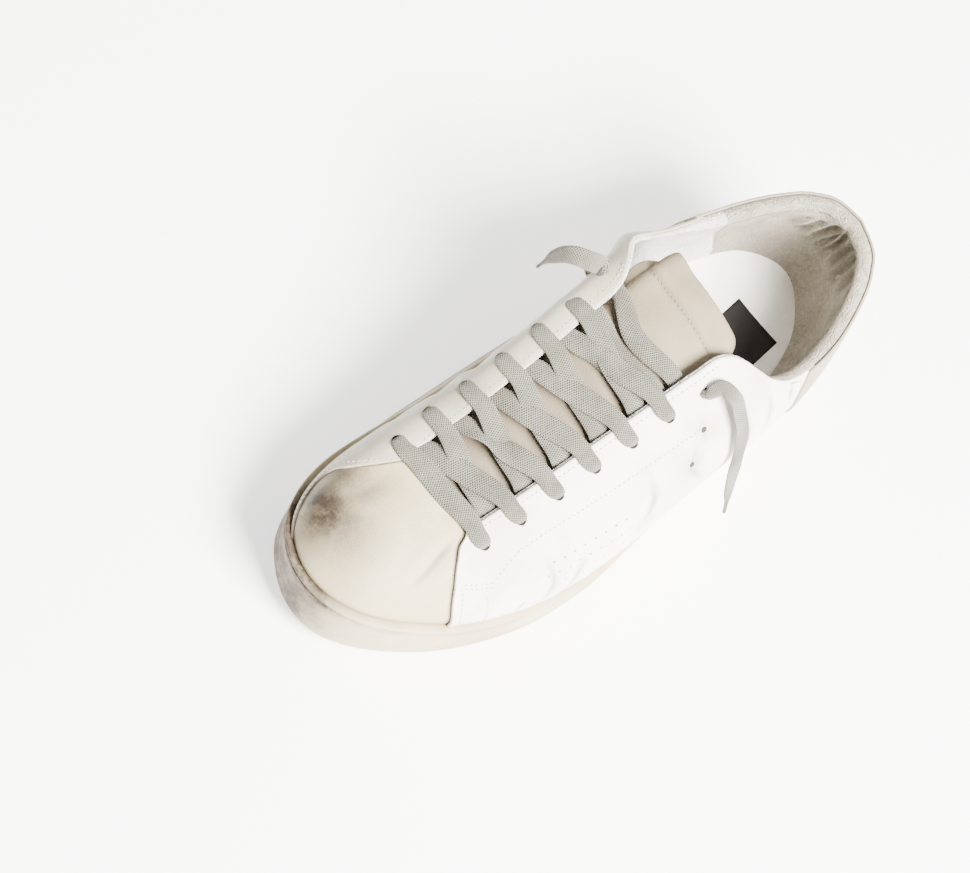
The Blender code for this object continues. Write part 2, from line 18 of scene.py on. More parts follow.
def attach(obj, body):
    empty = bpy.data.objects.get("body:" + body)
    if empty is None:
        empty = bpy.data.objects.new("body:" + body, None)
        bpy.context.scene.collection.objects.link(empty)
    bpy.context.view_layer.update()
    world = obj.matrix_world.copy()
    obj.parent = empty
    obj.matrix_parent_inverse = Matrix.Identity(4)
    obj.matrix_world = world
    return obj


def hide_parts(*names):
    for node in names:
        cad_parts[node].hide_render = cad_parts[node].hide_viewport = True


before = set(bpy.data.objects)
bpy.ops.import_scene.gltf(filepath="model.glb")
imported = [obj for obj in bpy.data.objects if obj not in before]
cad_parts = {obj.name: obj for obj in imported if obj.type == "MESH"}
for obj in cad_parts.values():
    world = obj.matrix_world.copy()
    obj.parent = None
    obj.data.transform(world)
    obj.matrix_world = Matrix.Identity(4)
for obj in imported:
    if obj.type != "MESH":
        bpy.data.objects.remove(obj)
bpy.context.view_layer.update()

random.seed(7)
print("nodes:", sorted(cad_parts))

# %% [markdown]
# ## Camera, floor and light
#
# The camera looks down on the shoe from its toe end, with a long lens, and is rolled so that the shoe
# lies across the picture. A camera's matrix has its right, up and backward directions as columns, so
# the roll is a turn of the first two about the third. The floor is a plain pale sheet that glows a
# little, as a lit studio table does. The light comes from one soft panel above the outer side, with a
# weak one overhead.

# %% Camera
MM = 0.001
CENTRE_X = 0.0079735
CENTRE_Y = 0.1478
PICTURE = (970, 873)
PIXELS_PER_MM = 2.389
TARGET_PIXEL = (574.0, 417.0)
TARGET = Vector((CENTRE_X, 0.150 - CENTRE_Y, 0.040))
DISTANCE = 1.583
FROM_SIDE = math.radians(89.4)
ABOVE = math.radians(58.4)
ROLL = math.radians(54.6)
SENSOR = 36.0


def aimed_camera():
    level_part = math.cos(ABOVE)
    backward = Vector((-math.cos(FROM_SIDE) * level_part, math.sin(FROM_SIDE) * level_part, math.sin(ABOVE)))
    level = Vector((0, 0, 1)).cross(backward).normalized()
    upright = backward.cross(level)
    right = level * math.cos(ROLL) + upright * math.sin(ROLL)
    up = upright * math.cos(ROLL) - level * math.sin(ROLL)
    data = bpy.data.cameras.new("camera")
    camera = bpy.data.objects.new("camera", data)
    bpy.context.scene.collection.objects.link(camera)
    turned = Matrix((right, up, backward)).transposed().to_4x4()
    camera.matrix_world = Matrix.Translation(TARGET + backward * DISTANCE) @ turned
    data.sensor_width = SENSOR
    data.lens = PIXELS_PER_MM / MM * DISTANCE / PICTURE[0] * SENSOR
    data.shift_x = -(TARGET_PIXEL[0] - PICTURE[0] / 2) / PICTURE[0]
    data.shift_y = (TARGET_PIXEL[1] - PICTURE[1] / 2) / PICTURE[0]
    data.clip_end = 20
    bpy.context.scene.camera = camera
    return camera


camera = aimed_camera()
print("lens", round(camera.data.lens, 1), "mm")

# %% Floor and light
def panel_light(name, place, aim, size, power, colour):
    data = bpy.data.lights.new(name, "AREA")
    data.shape = "RECTANGLE"
    data.size, data.size_y = size
    data.energy = power
    data.color = colour
    lamp = bpy.data.objects.new(name, data)
    lamp.location = place
    lamp.rotation_euler = (Vector(aim) - Vector(place)).to_track_quat("-Z", "Y").to_euler()
    bpy.context.scene.collection.objects.link(lamp)
    return lamp


def pale_floor():
    bpy.ops.mesh.primitive_plane_add(size=6, location=(0, 0, -0.0002))
    floor = bpy.context.object
    floor.name = "floor"
    paint = bpy.data.materials.new("floor_paint")
    paint.use_nodes = True
    shader = paint.node_tree.nodes["Principled BSDF"]
    shader.inputs["Base Color"].default_value = (0.97, 0.97, 0.97, 1)
    shader.inputs["Roughness"].default_value = 0.9
    shader.inputs["Specular IOR Level"].default_value = 0.1
    shader.inputs["Emission Color"].default_value = (1, 1, 1, 1)
    shader.inputs["Emission Strength"].default_value = 1.6
    floor.data.materials.append(paint)
    return floor


pale_floor()
panel_light("key_panel", (-1.05, 0.10, 1.40), (0, 0, 0.03), (0.95, 0.95), 300, (1.0, 0.97, 0.925))
panel_light("top_panel", (0.1, -0.5, 1.7), (0, 0, 0.0), (1.6, 1.6), 14, (1.0, 0.99, 0.97))
world = bpy.data.worlds.new("studio")
world.use_nodes = True
world.node_tree.nodes["Background"].inputs["Color"].default_value = (1.0, 0.985, 0.96, 1)
world.node_tree.nodes["Background"].inputs["Strength"].default_value = 0.46
bpy.context.scene.world = world

# %% [markdown]
# ## The last
#
# A shoe takes its shape from a last, the form that it is made around. Here the last is a set of short
# tables: the outline of the sole, the line of the collar and facings, and how far each side swells.
# A smooth curve through each table gives the shape anywhere, so every panel, seam and stitch can be
# placed by two numbers: the angle round the foot, from the heel, and the climb, 0 at the sole and 1
# at the free edge. A sculpted mesh could have the same shape, but nothing could be placed on it so simply.

# %% Sizes and tables of the last
SOLE_LENGTH = 0.298
BALL_WIDTH = 0.1065
HEEL_WIDTH = 0.0805
HEEL_HEIGHT = 0.088
INSTEP_HEIGHT = 0.098
THROAT_HEIGHT = 0.0555
LATERAL_DIP = 0.0705
MEDIAL_DIP = 0.075
SIDE_AT_HEEL = 0.030
SIDE_AT_BALL = 0.024
SIDE_AT_TOE = 0.0285
FLOOR_AT_HEEL = 0.0205
FLOOR_AT_BALL = 0.0095
TOE_SPRING = 0.0085
ARCH_RISE = 0.0022
HEEL_BEVEL = 0.0015
CUP_WALL = 0.0059
SIDE_FLARE = 0.0030
TOE_TUCK = 0.0045
WALL = 0.0022
HALF_INSET = 0.45
HALF_SHARE = 0.07
LIP_TOP = 0.97
TOE_ROUNDING = 0.8
OVERLAY = 0.0011
GAP = 0.0003
INSOLE_THICKNESS = 0.0060
TONGUE_THICKNESS = 0.0034
TONGUE_DROP = 0.0050
TONGUE_CROWN = 0.0040
TONGUE_WIDTH = 0.050
TONGUE_SHIFT = -0.0030
TONGUE_TIP = 0.3255 * SOLE_LENGTH
TONGUE_ROOT = 0.812 * SOLE_LENGTH
TONGUE_CORNER = 0.009
EYELET_PITCH = 0.0597 * SOLE_LENGTH
EYELET_INSET = 0.0088
EYELET_DIAMETER = 0.0046
EYELETS = 7
FIRST_LATERAL_EYELET = 0.7701 * SOLE_LENGTH
FIRST_MEDIAL_EYELET = 0.7886 * SOLE_LENGTH
LACE_WIDTH = 0.0076
TOP_BARS = [(0.4782, 0.4715), (0.4312, 0.4362)]
# Routes of the two free ends in millimetres, in the object's own frame
LATERAL_END = [
    (-14.9, -27.5, 95.2), (-17.4, -30.0, 96.9), (-23.6, -32.9, 95.4), (-30.4, -34.3, 89.6),
    (-37.0, -35.2, 82.2), (-42.0, -34.4, 75.2), (-46.2, -33.6, 67.8), (-50.0, -33.0, 60.6),
    (-53.8, -33.0, 53.0), (-57.6, -33.2, 45.4), (-61.4, -33.6, 37.4),
]
MEDIAL_END = [
    (50.2, -18.6, 93.6), (52.6, -13.6, 98.6), (56.0, -8.6, 101.8), (60.4, -5.2, 101.6),
    (63.8, -3.4, 98.0), (65.7, -2.8, 92.2), (66.6, -2.8, 85.8), (67.0, -3.2, 79.8), (67.2, -4.0, 74.0),
]

# Share of length, centre line as a share of the local width, fullness (1 is an ellipse)
OUTLINE = [
    (0.000, -0.015, 1.45), (0.020, -0.019, 1.46), (0.054, -0.025, 1.48), (0.107, -0.035, 1.405),
    (0.185, -0.043, 1.29), (0.285, -0.048, 1.167), (0.386, -0.057, 1.066), (0.487, -0.075, 1.014),
    (0.587, -0.085, 1.016), (0.688, -0.073, 1.066), (0.772, -0.036, 1.118), (0.839, 0.002, 1.170),
    (0.899, 0.037, 1.216), (0.946, 0.061, 1.269), (0.980, 0.078, 1.319), (1.000, 0.085, 1.34),
]

LIP_INSET = 1.15
# The upper's free edge: share of length at the feather, x as a share of BALL_WIDTH,
# y as a share of SOLE_LENGTH, the height that it follows and the share of that height
LATERAL_EDGE = [
    (0.000, -0.010, 0.020, "heel", 1.000), (0.020, -0.110, 0.028, "heel", 0.994),
    (0.054, -0.195, 0.049, "heel", 0.970), (0.107, -0.290, 0.098, "heel", 0.910),
    (0.150, -0.345, 0.142, "dip", 1.060), (0.195, -0.372, 0.190, "dip", 1.000),
    (0.240, -0.365, 0.236, "dip", 1.010), (0.285, -0.315, 0.282, "instep", 0.810),
    (0.325, -0.248, 0.318, "instep", 0.920), (0.355, -0.185, 0.345, "instep", 0.993),
    (0.385, -0.138, 0.370, "instep", 1.000), (0.430, -0.130, 0.417, "instep", 0.960),
    (0.510, -0.130, 0.500, "instep", 0.870), (0.600, -0.128, 0.592, "instep", 0.770),
    (0.688, -0.127, 0.682, "instep", 0.670), (0.760, -0.124, 0.749, "throat", 1.078),
    (0.828, -0.114, 0.781, "throat", 1.026), (0.880, -0.066, 0.785, "throat", 1.034),
    (0.940, -0.005, 0.788, "throat", 1.034), (1.000, 0.056, 0.790, "throat", 1.033),
]
MEDIAL_EDGE = [
    (0.000, -0.010, 0.020, "heel", 1.000), (0.020, 0.085, 0.028, "heel", 0.994),
    (0.054, 0.170, 0.052, "heel", 0.975), (0.107, 0.252, 0.098, "heel", 0.925),
    (0.150, 0.300, 0.140, "dip", 1.045), (0.195, 0.338, 0.185, "dip", 1.000),
    (0.240, 0.362, 0.232, "dip", 1.030), (0.285, 0.380, 0.280, "instep", 0.835),
    (0.325, 0.408, 0.334, "instep", 0.925), (0.360, 0.426, 0.378, "instep", 0.992),
    (0.395, 0.370, 0.403, "instep", 0.986), (0.440, 0.318, 0.427, "instep", 0.948),
    (0.520, 0.288, 0.500, "instep", 0.870), (0.620, 0.262, 0.590, "instep", 0.770),
    (0.730, 0.246, 0.682, "instep", 0.670), (0.840, 0.240, 0.752, "throat", 1.072),
    (0.930, 0.222, 0.787, "throat", 1.020), (0.962, 0.178, 0.795, "throat", 1.022),
    (0.985, 0.115, 0.792, "throat", 1.030), (1.000, 0.056, 0.790, "throat", 1.033),
]

# Share of length, swell of the wall as a share of BALL_WIDTH, power that sets how high it is fullest
LATERAL_SWELL = [
    (0.00, 0.030, 0.8), (0.10, 0.045, 0.8), (0.20, 0.080, 0.8), (0.30, 0.098, 0.8), (0.39, 0.088, 1.0),
    (0.50, 0.056, 1.2), (0.60, 0.040, 1.3), (0.80, 0.030, 1.2), (1.00, 0.022, 0.8),
]
MEDIAL_SWELL = [
    (0.00, 0.030, 0.8), (0.10, 0.042, 0.8), (0.20, 0.052, 1.0), (0.30, 0.060, 1.5), (0.39, 0.074, 2.4),
    (0.45, 0.082, 2.6), (0.50, 0.076, 2.5), (0.60, 0.058, 2.2), (0.70, 0.044, 1.8), (0.80, 0.032, 1.4),
    (1.00, 0.022, 0.8),
]

# Share of length, angle in degrees at which the wall's arch stops at the free edge
LATERAL_ARCH = [
    (0.00, 45.0), (0.24, 47.0), (0.36, 58.0), (0.45, 68.0), (0.70, 72.0), (0.85, 73.0), (1.00, 76.0),
]
MEDIAL_ARCH = [
    (0.00, 45.0), (0.26, 48.0), (0.36, 66.0), (0.45, 84.0), (0.70, 86.0), (0.85, 82.0), (1.00, 76.0),
]

LATERAL_PATCH = 0.205
MEDIAL_PATCH = 0.232

# %% Shape of the last
def curve_through(rows, at, column=1):
    """Reads a table at places between its rows, on one smooth curve."""
    places = np.array([row[0] for row in rows], float)
    values = np.array([row[column] for row in rows], float)
    steps = np.diff(places)
    slopes = np.diff(values) / steps
    tangents = np.empty_like(values)
    tangents[0] = slopes[0]
    tangents[-1] = slopes[-1]
    tangents[1:-1] = (slopes[:-1] * steps[1:] + slopes[1:] * steps[:-1]) / (steps[1:] + steps[:-1])
    at = np.clip(np.asarray(at, float), places[0], places[-1])
    cell = np.clip(np.searchsorted(places, at, side="right") - 1, 0, len(steps) - 1)
    run = steps[cell]
    t = (at - places[cell]) / run
    start = values[cell] * (1 + 2 * t) * (1 - t) ** 2 + tangents[cell] * run * t * (1 - t) ** 2
    end = values[cell + 1] * t * t * (3 - 2 * t) + tangents[cell + 1] * run * t * t * (t - 1)
    return start + end


def smooth_step(value, low, high):
    t = np.clip((np.asarray(value, float) - low) / (high - low), 0.0, 1.0)
    return t * t * (3 - 2 * t)


def station(turn):
    """The share of the length at an angle round the foot: 0 is the heel, pi the toe."""
    return (1 - np.cos(turn)) / 2


def turn_at(share, side):
    """The angle round the foot of a share of the length, on the lateral (-1) or medial (1) side."""
    angle = math.acos(1 - 2 * min(max(share, 0.0), 1.0))
    return angle if side < 0 else 2 * math.pi - angle


def local_width(share):
    return HEEL_WIDTH + (BALL_WIDTH - HEEL_WIDTH) * smooth_step(share, 0.2, 0.6)


def outline(turn):
    """The sole's widest outline, measured from the middle of the heel's back."""
    share = station(turn)
    width = local_width(share)
    x = width * (curve_through(OUTLINE, share) - curve_through(OUTLINE, share, 2) * np.sin(turn) / 2)
    return np.stack([x, SOLE_LENGTH * share], axis=-1)


def side_height(share):
    rows = [(0.0, SIDE_AT_HEEL), (0.25, SIDE_AT_HEEL), (0.6, SIDE_AT_BALL), (0.8, SIDE_AT_BALL)]
    return curve_through(rows + [(0.97, SIDE_AT_TOE), (1.0, SIDE_AT_TOE)], share)


def ground_height(share):
    """The underside: flat at heel and forefoot, raised at the arch, the toe and the heel's back edge."""
    toe = TOE_SPRING * np.clip((share - 0.74) / 0.26, 0, 1) ** 1.8
    arch = ARCH_RISE * smooth_step(share, 0.34, 0.40) * (1 - smooth_step(share, 0.47, 0.54))
    heel = HEEL_BEVEL * np.clip(1 - share / 0.045, 0, 1)
    return toe + arch + heel


def cup_floor(share):
    fall = (FLOOR_AT_BALL - FLOOR_AT_HEEL) * smooth_step(share, 0.3, 0.62)
    return ground_height(share) + FLOOR_AT_HEEL + fall


def inset_ring(turns, inset):
    """The outline moved inwards, as points in the plan."""
    small = 1e-3
    along = outline(turns + small) - outline(turns - small)
    along /= np.linalg.norm(along, axis=1, keepdims=True)
    inward = np.stack([along[:, 1], -along[:, 0]], axis=1)
    return outline(turns) + inward * inset


def raised(plan, height):
    """Plan points moved to the object's own frame, with a height worked out from their place along the foot."""
    share = np.clip(plan[:, 1] / SOLE_LENGTH, 0, 1)
    return np.column_stack([plan[:, 0] - MIDDLE_X, plan[:, 1] - MIDDLE_Y, height(share)])


def edge_height(rows, dip, share):
    heights = {"heel": HEEL_HEIGHT, "dip": dip, "instep": INSTEP_HEIGHT, "throat": THROAT_HEIGHT}
    table = [(row[0], heights[row[3]] * row[4]) for row in rows]
    return curve_through(table, share)


def free_edge(turn):
    """The collar, facing and throat edge that a place on the feather line leads up to."""
    share = station(turn)
    lateral = np.sin(turn) >= 0
    found = []
    for rows, dip in ((LATERAL_EDGE, LATERAL_DIP), (MEDIAL_EDGE, MEDIAL_DIP)):
        x = BALL_WIDTH * curve_through(rows, share, 1)
        y = SOLE_LENGTH * curve_through(rows, share, 2)
        found.append(np.stack([x, y, edge_height(rows, dip, share)], axis=-1))
    return np.where(lateral[:, None], found[0], found[1])


def upper_surface(turns, climb):
    """The upper's outer face: climb 0 is where it leaves the rubber lip, 1 its free edge."""
    turns = np.asarray(turns, float)
    share = station(turns)
    foot = inset_ring(turns, CUP_WALL + GAP)
    foot_share = np.clip(foot[:, 1] / SOLE_LENGTH, 0, 1)
    low = ground_height(foot_share) + LIP_TOP * side_height(foot_share)
    edge = free_edge(turns)
    lateral = np.sin(turns) >= 0
    end = np.radians(np.where(lateral, curve_through(LATERAL_ARCH, share), curve_through(MEDIAL_ARCH, share)))
    angle = end * climb
    across = (1 - np.cos(angle)) / (1 - np.cos(end))
    up = np.sin(angle) / np.sin(end)
    plan = foot + (edge[:, :2] - foot) * across[:, None]
    height = low + (edge[:, 2] - low) * up
    outward = foot - inset_ring(turns, CUP_WALL + GAP + 0.001)
    outward /= np.linalg.norm(outward, axis=1, keepdims=True)
    swell, power = (
        np.where(
            lateral, curve_through(LATERAL_SWELL, share, column), curve_through(MEDIAL_SWELL, share, column)
        )
        for column in (1, 2)
    )
    bulge = BALL_WIDTH * swell * np.sin(math.pi * climb ** power)
    plan = plan + outward * bulge[:, None]
    return np.column_stack([plan[:, 0] - MIDDLE_X, plan[:, 1] - MIDDLE_Y, height])


def surface_normals(turns, climb):
    small = 2e-3
    along = upper_surface(turns + small, climb) - upper_surface(turns - small, climb)
    low, high = max(climb - small, 0.0), min(climb + small, 1.0)
    rise = upper_surface(turns, high) - upper_surface(turns, low)
    normal = np.cross(rise, along)
    normal /= np.linalg.norm(normal, axis=1, keepdims=True)
    return normal


FINE_TURNS = np.linspace(0, 2 * math.pi, 721)
MIDDLE_X = (outline(FINE_TURNS)[:, 0].max() + outline(FINE_TURNS)[:, 0].min()) / 2
MIDDLE_Y = (SOLE_LENGTH - TOE_ROUNDING * SIDE_FLARE) / 2
print("middle of the outline:", round(MIDDLE_X / MM, 2), round(MIDDLE_Y / MM, 2), "mm")

# %% [markdown]
# ## Creases and dents
#
# Leather that has been walked in keeps soft troughs where the foot bends, each with a low ridge beside it.
# Every crease here is a short line on the last, given by share of length and climb, with a depth and a
# width. A point of the leather sinks by how near it is to that line. Noise alone would wrinkle the shoe
# everywhere, and real creases lie only where the foot bends or a hand has pressed.

# %% Crease lines
# Side (-1 lateral, 1 medial), places as (share, climb), depth and width in mm
CREASES = [
    (-1, [(0.700, 0.10), (0.690, 0.34), (0.700, 0.62)], 0.9, 3.4),
    (-1, [(0.655, 0.06), (0.648, 0.26), (0.640, 0.50)], 1.0, 3.8),
    (-1, [(0.740, 0.08), (0.735, 0.30)], 0.6, 2.8),
    (-1, [(0.530, 0.72), (0.525, 0.52), (0.545, 0.36)], 1.3, 5.0),
    (-1, [(0.455, 0.70), (0.462, 0.56), (0.440, 0.44)], 1.2, 4.2),
    (-1, [(0.440, 0.82), (0.438, 0.66)], 1.0, 3.0),
    (-1, [(0.365, 0.66), (0.350, 0.50), (0.360, 0.34)], 0.9, 4.4),
    (-1, [(0.300, 0.88), (0.290, 0.66), (0.305, 0.48)], 1.1, 4.6),
    (-1, [(0.240, 0.92), (0.235, 0.70)], 0.8, 3.6),
    (-1, [(0.400, 0.20), (0.470, 0.13), (0.560, 0.14)], 0.8, 3.2),
    (1, [(0.700, 0.20), (0.690, 0.50), (0.705, 0.74)], 1.1, 4.0),
    (1, [(0.640, 0.14), (0.630, 0.46), (0.650, 0.70)], 1.2, 4.2),
    (1, [(0.760, 0.18), (0.755, 0.55)], 0.8, 3.2),
    (1, [(0.420, 0.24), (0.500, 0.30), (0.580, 0.24)], 1.1, 5.0),
    (1, [(0.310, 0.86), (0.300, 0.60), (0.315, 0.40)], 1.2, 4.6),
    (1, [(0.210, 0.70), (0.200, 0.45)], 0.8, 3.8),
    (-1, [(0.880, 0.88), (0.905, 0.74), (0.930, 0.50)], 0.7, 3.0),
    (1, [(0.955, 0.86), (0.965, 0.66), (0.965, 0.46)], 0.7, 3.4),
    (-1, [(0.040, 0.30), (0.060, 0.24), (0.100, 0.26)], 0.8, 3.4),
]


def on_last(side, share, climb, lift=0.0):
    """One point of the last's face, raised along its normal."""
    turn = np.array([turn_at(share, side)])
    return (upper_surface(turn, climb) + surface_normals(turn, climb) * lift)[0]


def crease_line(side, places, count=9):
    rows = [(i, share, climb) for i, (share, climb) in enumerate(places)]
    at = np.linspace(0, len(places) - 1, count)
    shares, climbs = curve_through(rows, at, 1), curve_through(rows, at, 2)
    return np.array([on_last(side, s, c) for s, c in zip(shares, climbs)])


CREASE_LINES = [(crease_line(side, places), depth * MM, width * MM) for side, places, depth, width in CREASES]


def distance_to_line(points, line):
    """Distance of each point to a line of short runs, and how far along the line it is, from 0 to 1."""
    best = np.full(len(points), 1e9)
    along = np.zeros(len(points))
    for i, (a, b) in enumerate(zip(line, line[1:])):
        run = b - a
        t = np.clip((points - a) @ run / (run @ run), 0, 1)
        away = np.linalg.norm(points - a - t[:, None] * run, axis=1)
        nearer = away < best
        best[nearer] = away[nearer]
        along[nearer] = (i + t[nearer]) / (len(line) - 1)
    return best, along


def creased(points):
    """How far each point sinks, and how creased it is from 0 to 1."""
    sink = np.zeros(len(points))
    worn = np.zeros(len(points))
    for line, depth, width in CREASE_LINES:
        away, along = distance_to_line(points, line)
        fade = np.sin(math.pi * np.clip(along, 0.04, 0.96)) ** 0.7
        trough = np.exp(-((away / width) ** 2))
        ridge = np.exp(-(((away - 2.1 * width) / (0.9 * width)) ** 2))
        sink += fade * depth * (trough - 0.35 * ridge)
        worn = np.maximum(worn, fade * np.exp(-((away / (0.45 * width)) ** 2)))
    return sink, worn


print(len(CREASE_LINES), "creases")

# %% [markdown]
# ## Meshes from grids
#
# Most of the shoe is cut from sheet: panels of leather, lining, cloth. Each is made here as a grid of
# points, with a second grid behind it for the sheet's thickness, and the two are sewn round the edge.
# A Solidify modifier would do the same on a flat sheet, but the edges of worn leather are rounded and
# uneven, and a grid lets each row near the edge roll down by itself.

# %% Grid helpers
def mesh_object(name, points, faces, attributes=()):
    mesh = bpy.data.meshes.new(name)
    mesh.from_pydata([tuple(p) for p in points], [], [tuple(int(i) for i in f) for f in faces])
    for label, values in attributes:
        layer = mesh.attributes.new(label, "FLOAT", "POINT")
        layer.data.foreach_set("value", np.asarray(values, np.float32))
    mesh.update()
    mesh.shade_smooth()
    made = bpy.data.objects.new(name, mesh)
    bpy.context.scene.collection.objects.link(made)
    return made


def grid_faces(rows, columns, start=0, wrap=False, flip=False):
    last = columns if wrap else columns - 1
    i, j = np.meshgrid(np.arange(rows - 1), np.arange(last), indexing="ij")
    a = start + i * columns + j
    b = start + i * columns + (j + 1) % columns
    quads = np.stack([a, b, b + columns, a + columns], axis=-1).reshape(-1, 4)
    return quads[:, ::-1] if flip else quads


def sewn_rim(rows, columns, back):
    """Faces that join the border of a grid to the border of the grid behind it."""
    top = list(range(columns))
    right = [i * columns + columns - 1 for i in range(rows)]
    bottom = [(rows - 1) * columns + j for j in range(columns - 1, -1, -1)]
    left = [i * columns for i in range(rows - 1, -1, -1)]
    border = top + right[1:] + bottom[1:] + left[1:-1]
    return [(a, a + back, b + back, b) for a, b in zip(border, border[1:] + border[:1])]


def outward(made):
    bm = bmesh.new()
    bm.from_mesh(made.data)
    bmesh.ops.remove_doubles(bm, verts=bm.verts, dist=1e-6)
    bmesh.ops.recalc_face_normals(bm, faces=bm.faces)
    bm.to_mesh(made.data)
    bm.free()
    return made


def sheet_between(name, front, behind, attributes=()):
    """A closed sheet from two grids of equal size."""
    rows, columns = front.shape[:2]
    points = np.concatenate([front.reshape(-1, 3), behind.reshape(-1, 3)])
    faces = list(grid_faces(rows, columns)) + list(grid_faces(rows, columns, rows * columns, flip=True))
    faces += sewn_rim(rows, columns, rows * columns)
    doubled = [(label, np.concatenate([v.reshape(-1), v.reshape(-1)])) for label, v in attributes]
    return outward(mesh_object(name, points, faces, doubled))


def dress(piece, slot, finish, *nodes):
    """The piece rides on the shoe, takes its finish and stands for its plain solids."""
    piece.data.materials.clear()
    piece.data.materials.append(finish)
    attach(piece, "root")
    if nodes:
        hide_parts(*nodes)
    return piece


# %% [markdown]
# ## Finishes
#
# A finish is a small graph of nodes. Every one starts from the point's own place on the shoe, so it
# needs no unwrapping, and mixes noise at several sizes: large, slow noise for soiling, middle noise for
# handling marks, and fine cells for grain or weave. Where dirt gathers, and where shade is painted into
# the colour, is worked out on the mesh, as a value on each point, because only the mesh knows where its
# edges and creases are.

# %% Node helpers
class Graph:
    """Short names for the nodes that every finish here uses."""

    def __init__(self, name, roughness, specular=0.5):
        self.material = bpy.data.materials.new(name)
        self.material.use_nodes = True
        self.tree = self.material.node_tree
        self.shader = self.tree.nodes["Principled BSDF"]
        self.shader.inputs["Roughness"].default_value = roughness
        self.shader.inputs["Specular IOR Level"].default_value = specular
        self.place = self.tree.nodes.new("ShaderNodeTexCoord").outputs["Object"]

    def put(self, socket, value):
        if isinstance(value, bpy.types.NodeSocket):
            self.tree.links.new(value, socket)
        elif isinstance(value, tuple) and len(value) == 3 and socket.type == "RGBA":
            socket.default_value = (*value, 1)
        else:
            socket.default_value = value

    def node(self, kind, output, inputs, **settings):
        made = self.tree.nodes.new(kind)
        for key, value in settings.items():
            setattr(made, key, value)
        for key, value in inputs.items():
            self.put(made.inputs[key], value)
        return made.outputs[output]

    def stretched(self, scale):
        return self.node("ShaderNodeMapping", "Vector", {"Vector": self.place, "Scale": scale})

    def noise(self, scale, detail=3.0, roughness=0.55, distortion=0.0, place=None):
        inputs = {"Vector": place or self.place, "Scale": scale, "Detail": detail}
        inputs.update({"Roughness": roughness, "Distortion": distortion})
        return self.node("ShaderNodeTexNoise", "Fac", inputs)

    def cells(self, scale, feature="F1", place=None):
        inputs = {"Vector": place or self.place, "Scale": scale}
        return self.node("ShaderNodeTexVoronoi", "Distance", inputs, feature=feature)

    def waves(self, scale, direction, distortion=0.0, place=None):
        inputs = {"Vector": place or self.place, "Scale": scale, "Distortion": distortion}
        return self.node("ShaderNodeTexWave", "Fac", inputs, bands_direction=direction)

    def spread(self, value, low, high, to_low=0.0, to_high=1.0):
        inputs = {"Value": value, "From Min": low, "From Max": high, "To Min": to_low, "To Max": to_high}
        return self.node("ShaderNodeMapRange", "Result", inputs, interpolation_type="SMOOTHSTEP")

    def reckon(self, operation, a, b=0.0):
        made = self.tree.nodes.new("ShaderNodeMath")
        made.operation = operation
        self.put(made.inputs[0], a)
        self.put(made.inputs[1], b)
        return made.outputs[0]

    def blend(self, share, a, b):
        made = self.tree.nodes.new("ShaderNodeMix")
        made.data_type = "RGBA"
        self.put(made.inputs[0], share)
        self.put(made.inputs[6], a)
        self.put(made.inputs[7], b)
        return made.outputs[2]

    def mark(self, label):
        made = self.tree.nodes.new("ShaderNodeAttribute")
        made.attribute_name = label
        return made.outputs["Fac"]

    def colour(self, value):
        self.put(self.shader.inputs["Base Color"], value)

    def rough(self, value):
        self.put(self.shader.inputs["Roughness"], value)

    def relief(self, height, depth, strength=1.0, under=None):
        inputs = {"Height": height, "Distance": depth, "Strength": strength}
        if under is not None:
            inputs["Normal"] = under
        normal = self.node("ShaderNodeBump", "Normal", inputs)
        self.put(self.shader.inputs["Normal"], normal)
        return normal


# %% Leather
def leather(name, clean, darkened, grime_and_shade, roughness, grain_depth=0.00010):
    """Smooth leather with pebbled grain: clean colour, slow soiling, and dirt and painted shade where the mesh
    is marked.
    """
    g = Graph(name, roughness, 0.42)
    slow = g.spread(g.noise(22, 4, 0.6), 0.42, 0.68)
    spots = g.spread(g.noise(150, 5, 0.65, 0.6), 0.56, 0.72, 0, 0.5)
    base = g.blend(g.reckon("MULTIPLY", slow, 0.75), clean, darkened)
    broken = g.spread(g.noise(75, 9, 0.78), 0.28, 0.70, 0.82, 1.15)
    dirt_and_shade = g.reckon("MULTIPLY", g.mark("dirt_and_shade"), broken)
    held = g.reckon("MINIMUM", g.reckon("ADD", dirt_and_shade, g.reckon("MULTIPLY", spots, 0.06)), 1.0)
    g.colour(g.blend(held, base, grime_and_shade))
    g.rough(g.reckon("ADD", g.reckon("MULTIPLY", g.noise(60, 3), 0.16), roughness - 0.04))
    pebbles = g.spread(g.cells(1150), 0.05, 0.62, 1.0, 0.0)
    wide = g.relief(g.noise(55, 4, 0.6, 0.4), 0.0012, 0.16)
    lined = g.relief(g.noise(420, 4, 0.7, 1.2), 0.0004, 0.28, wide)
    g.relief(pebbles, grain_depth, 0.55, lined)
    return g.material


white_leather = leather("white_leather", (0.88, 0.86, 0.81), (0.68, 0.63, 0.54), (0.16, 0.13, 0.09), 0.46)
toe_leather = leather("toe_leather", (0.54, 0.455, 0.285), (0.42, 0.345, 0.205), (0.034, 0.022, 0.013), 0.52)
heel_leather = leather("heel_leather", (0.34, 0.295, 0.225), (0.26, 0.22, 0.165), (0.09, 0.07, 0.05), 0.58)
# The medial quarter gets a darker copy of the quarter leather: painted shade for the side away from the light,
# over a slightly beige tone.
shaded_medial_leather = leather(
    "shaded_medial_leather", (0.46, 0.42, 0.335), (0.31, 0.275, 0.205), (0.11, 0.085, 0.055), 0.50
)
tongue_leather = leather(
    "tongue_leather", (0.27, 0.222, 0.145), (0.185, 0.148, 0.090), (0.11, 0.085, 0.06), 0.60
)
print("leathers ready")

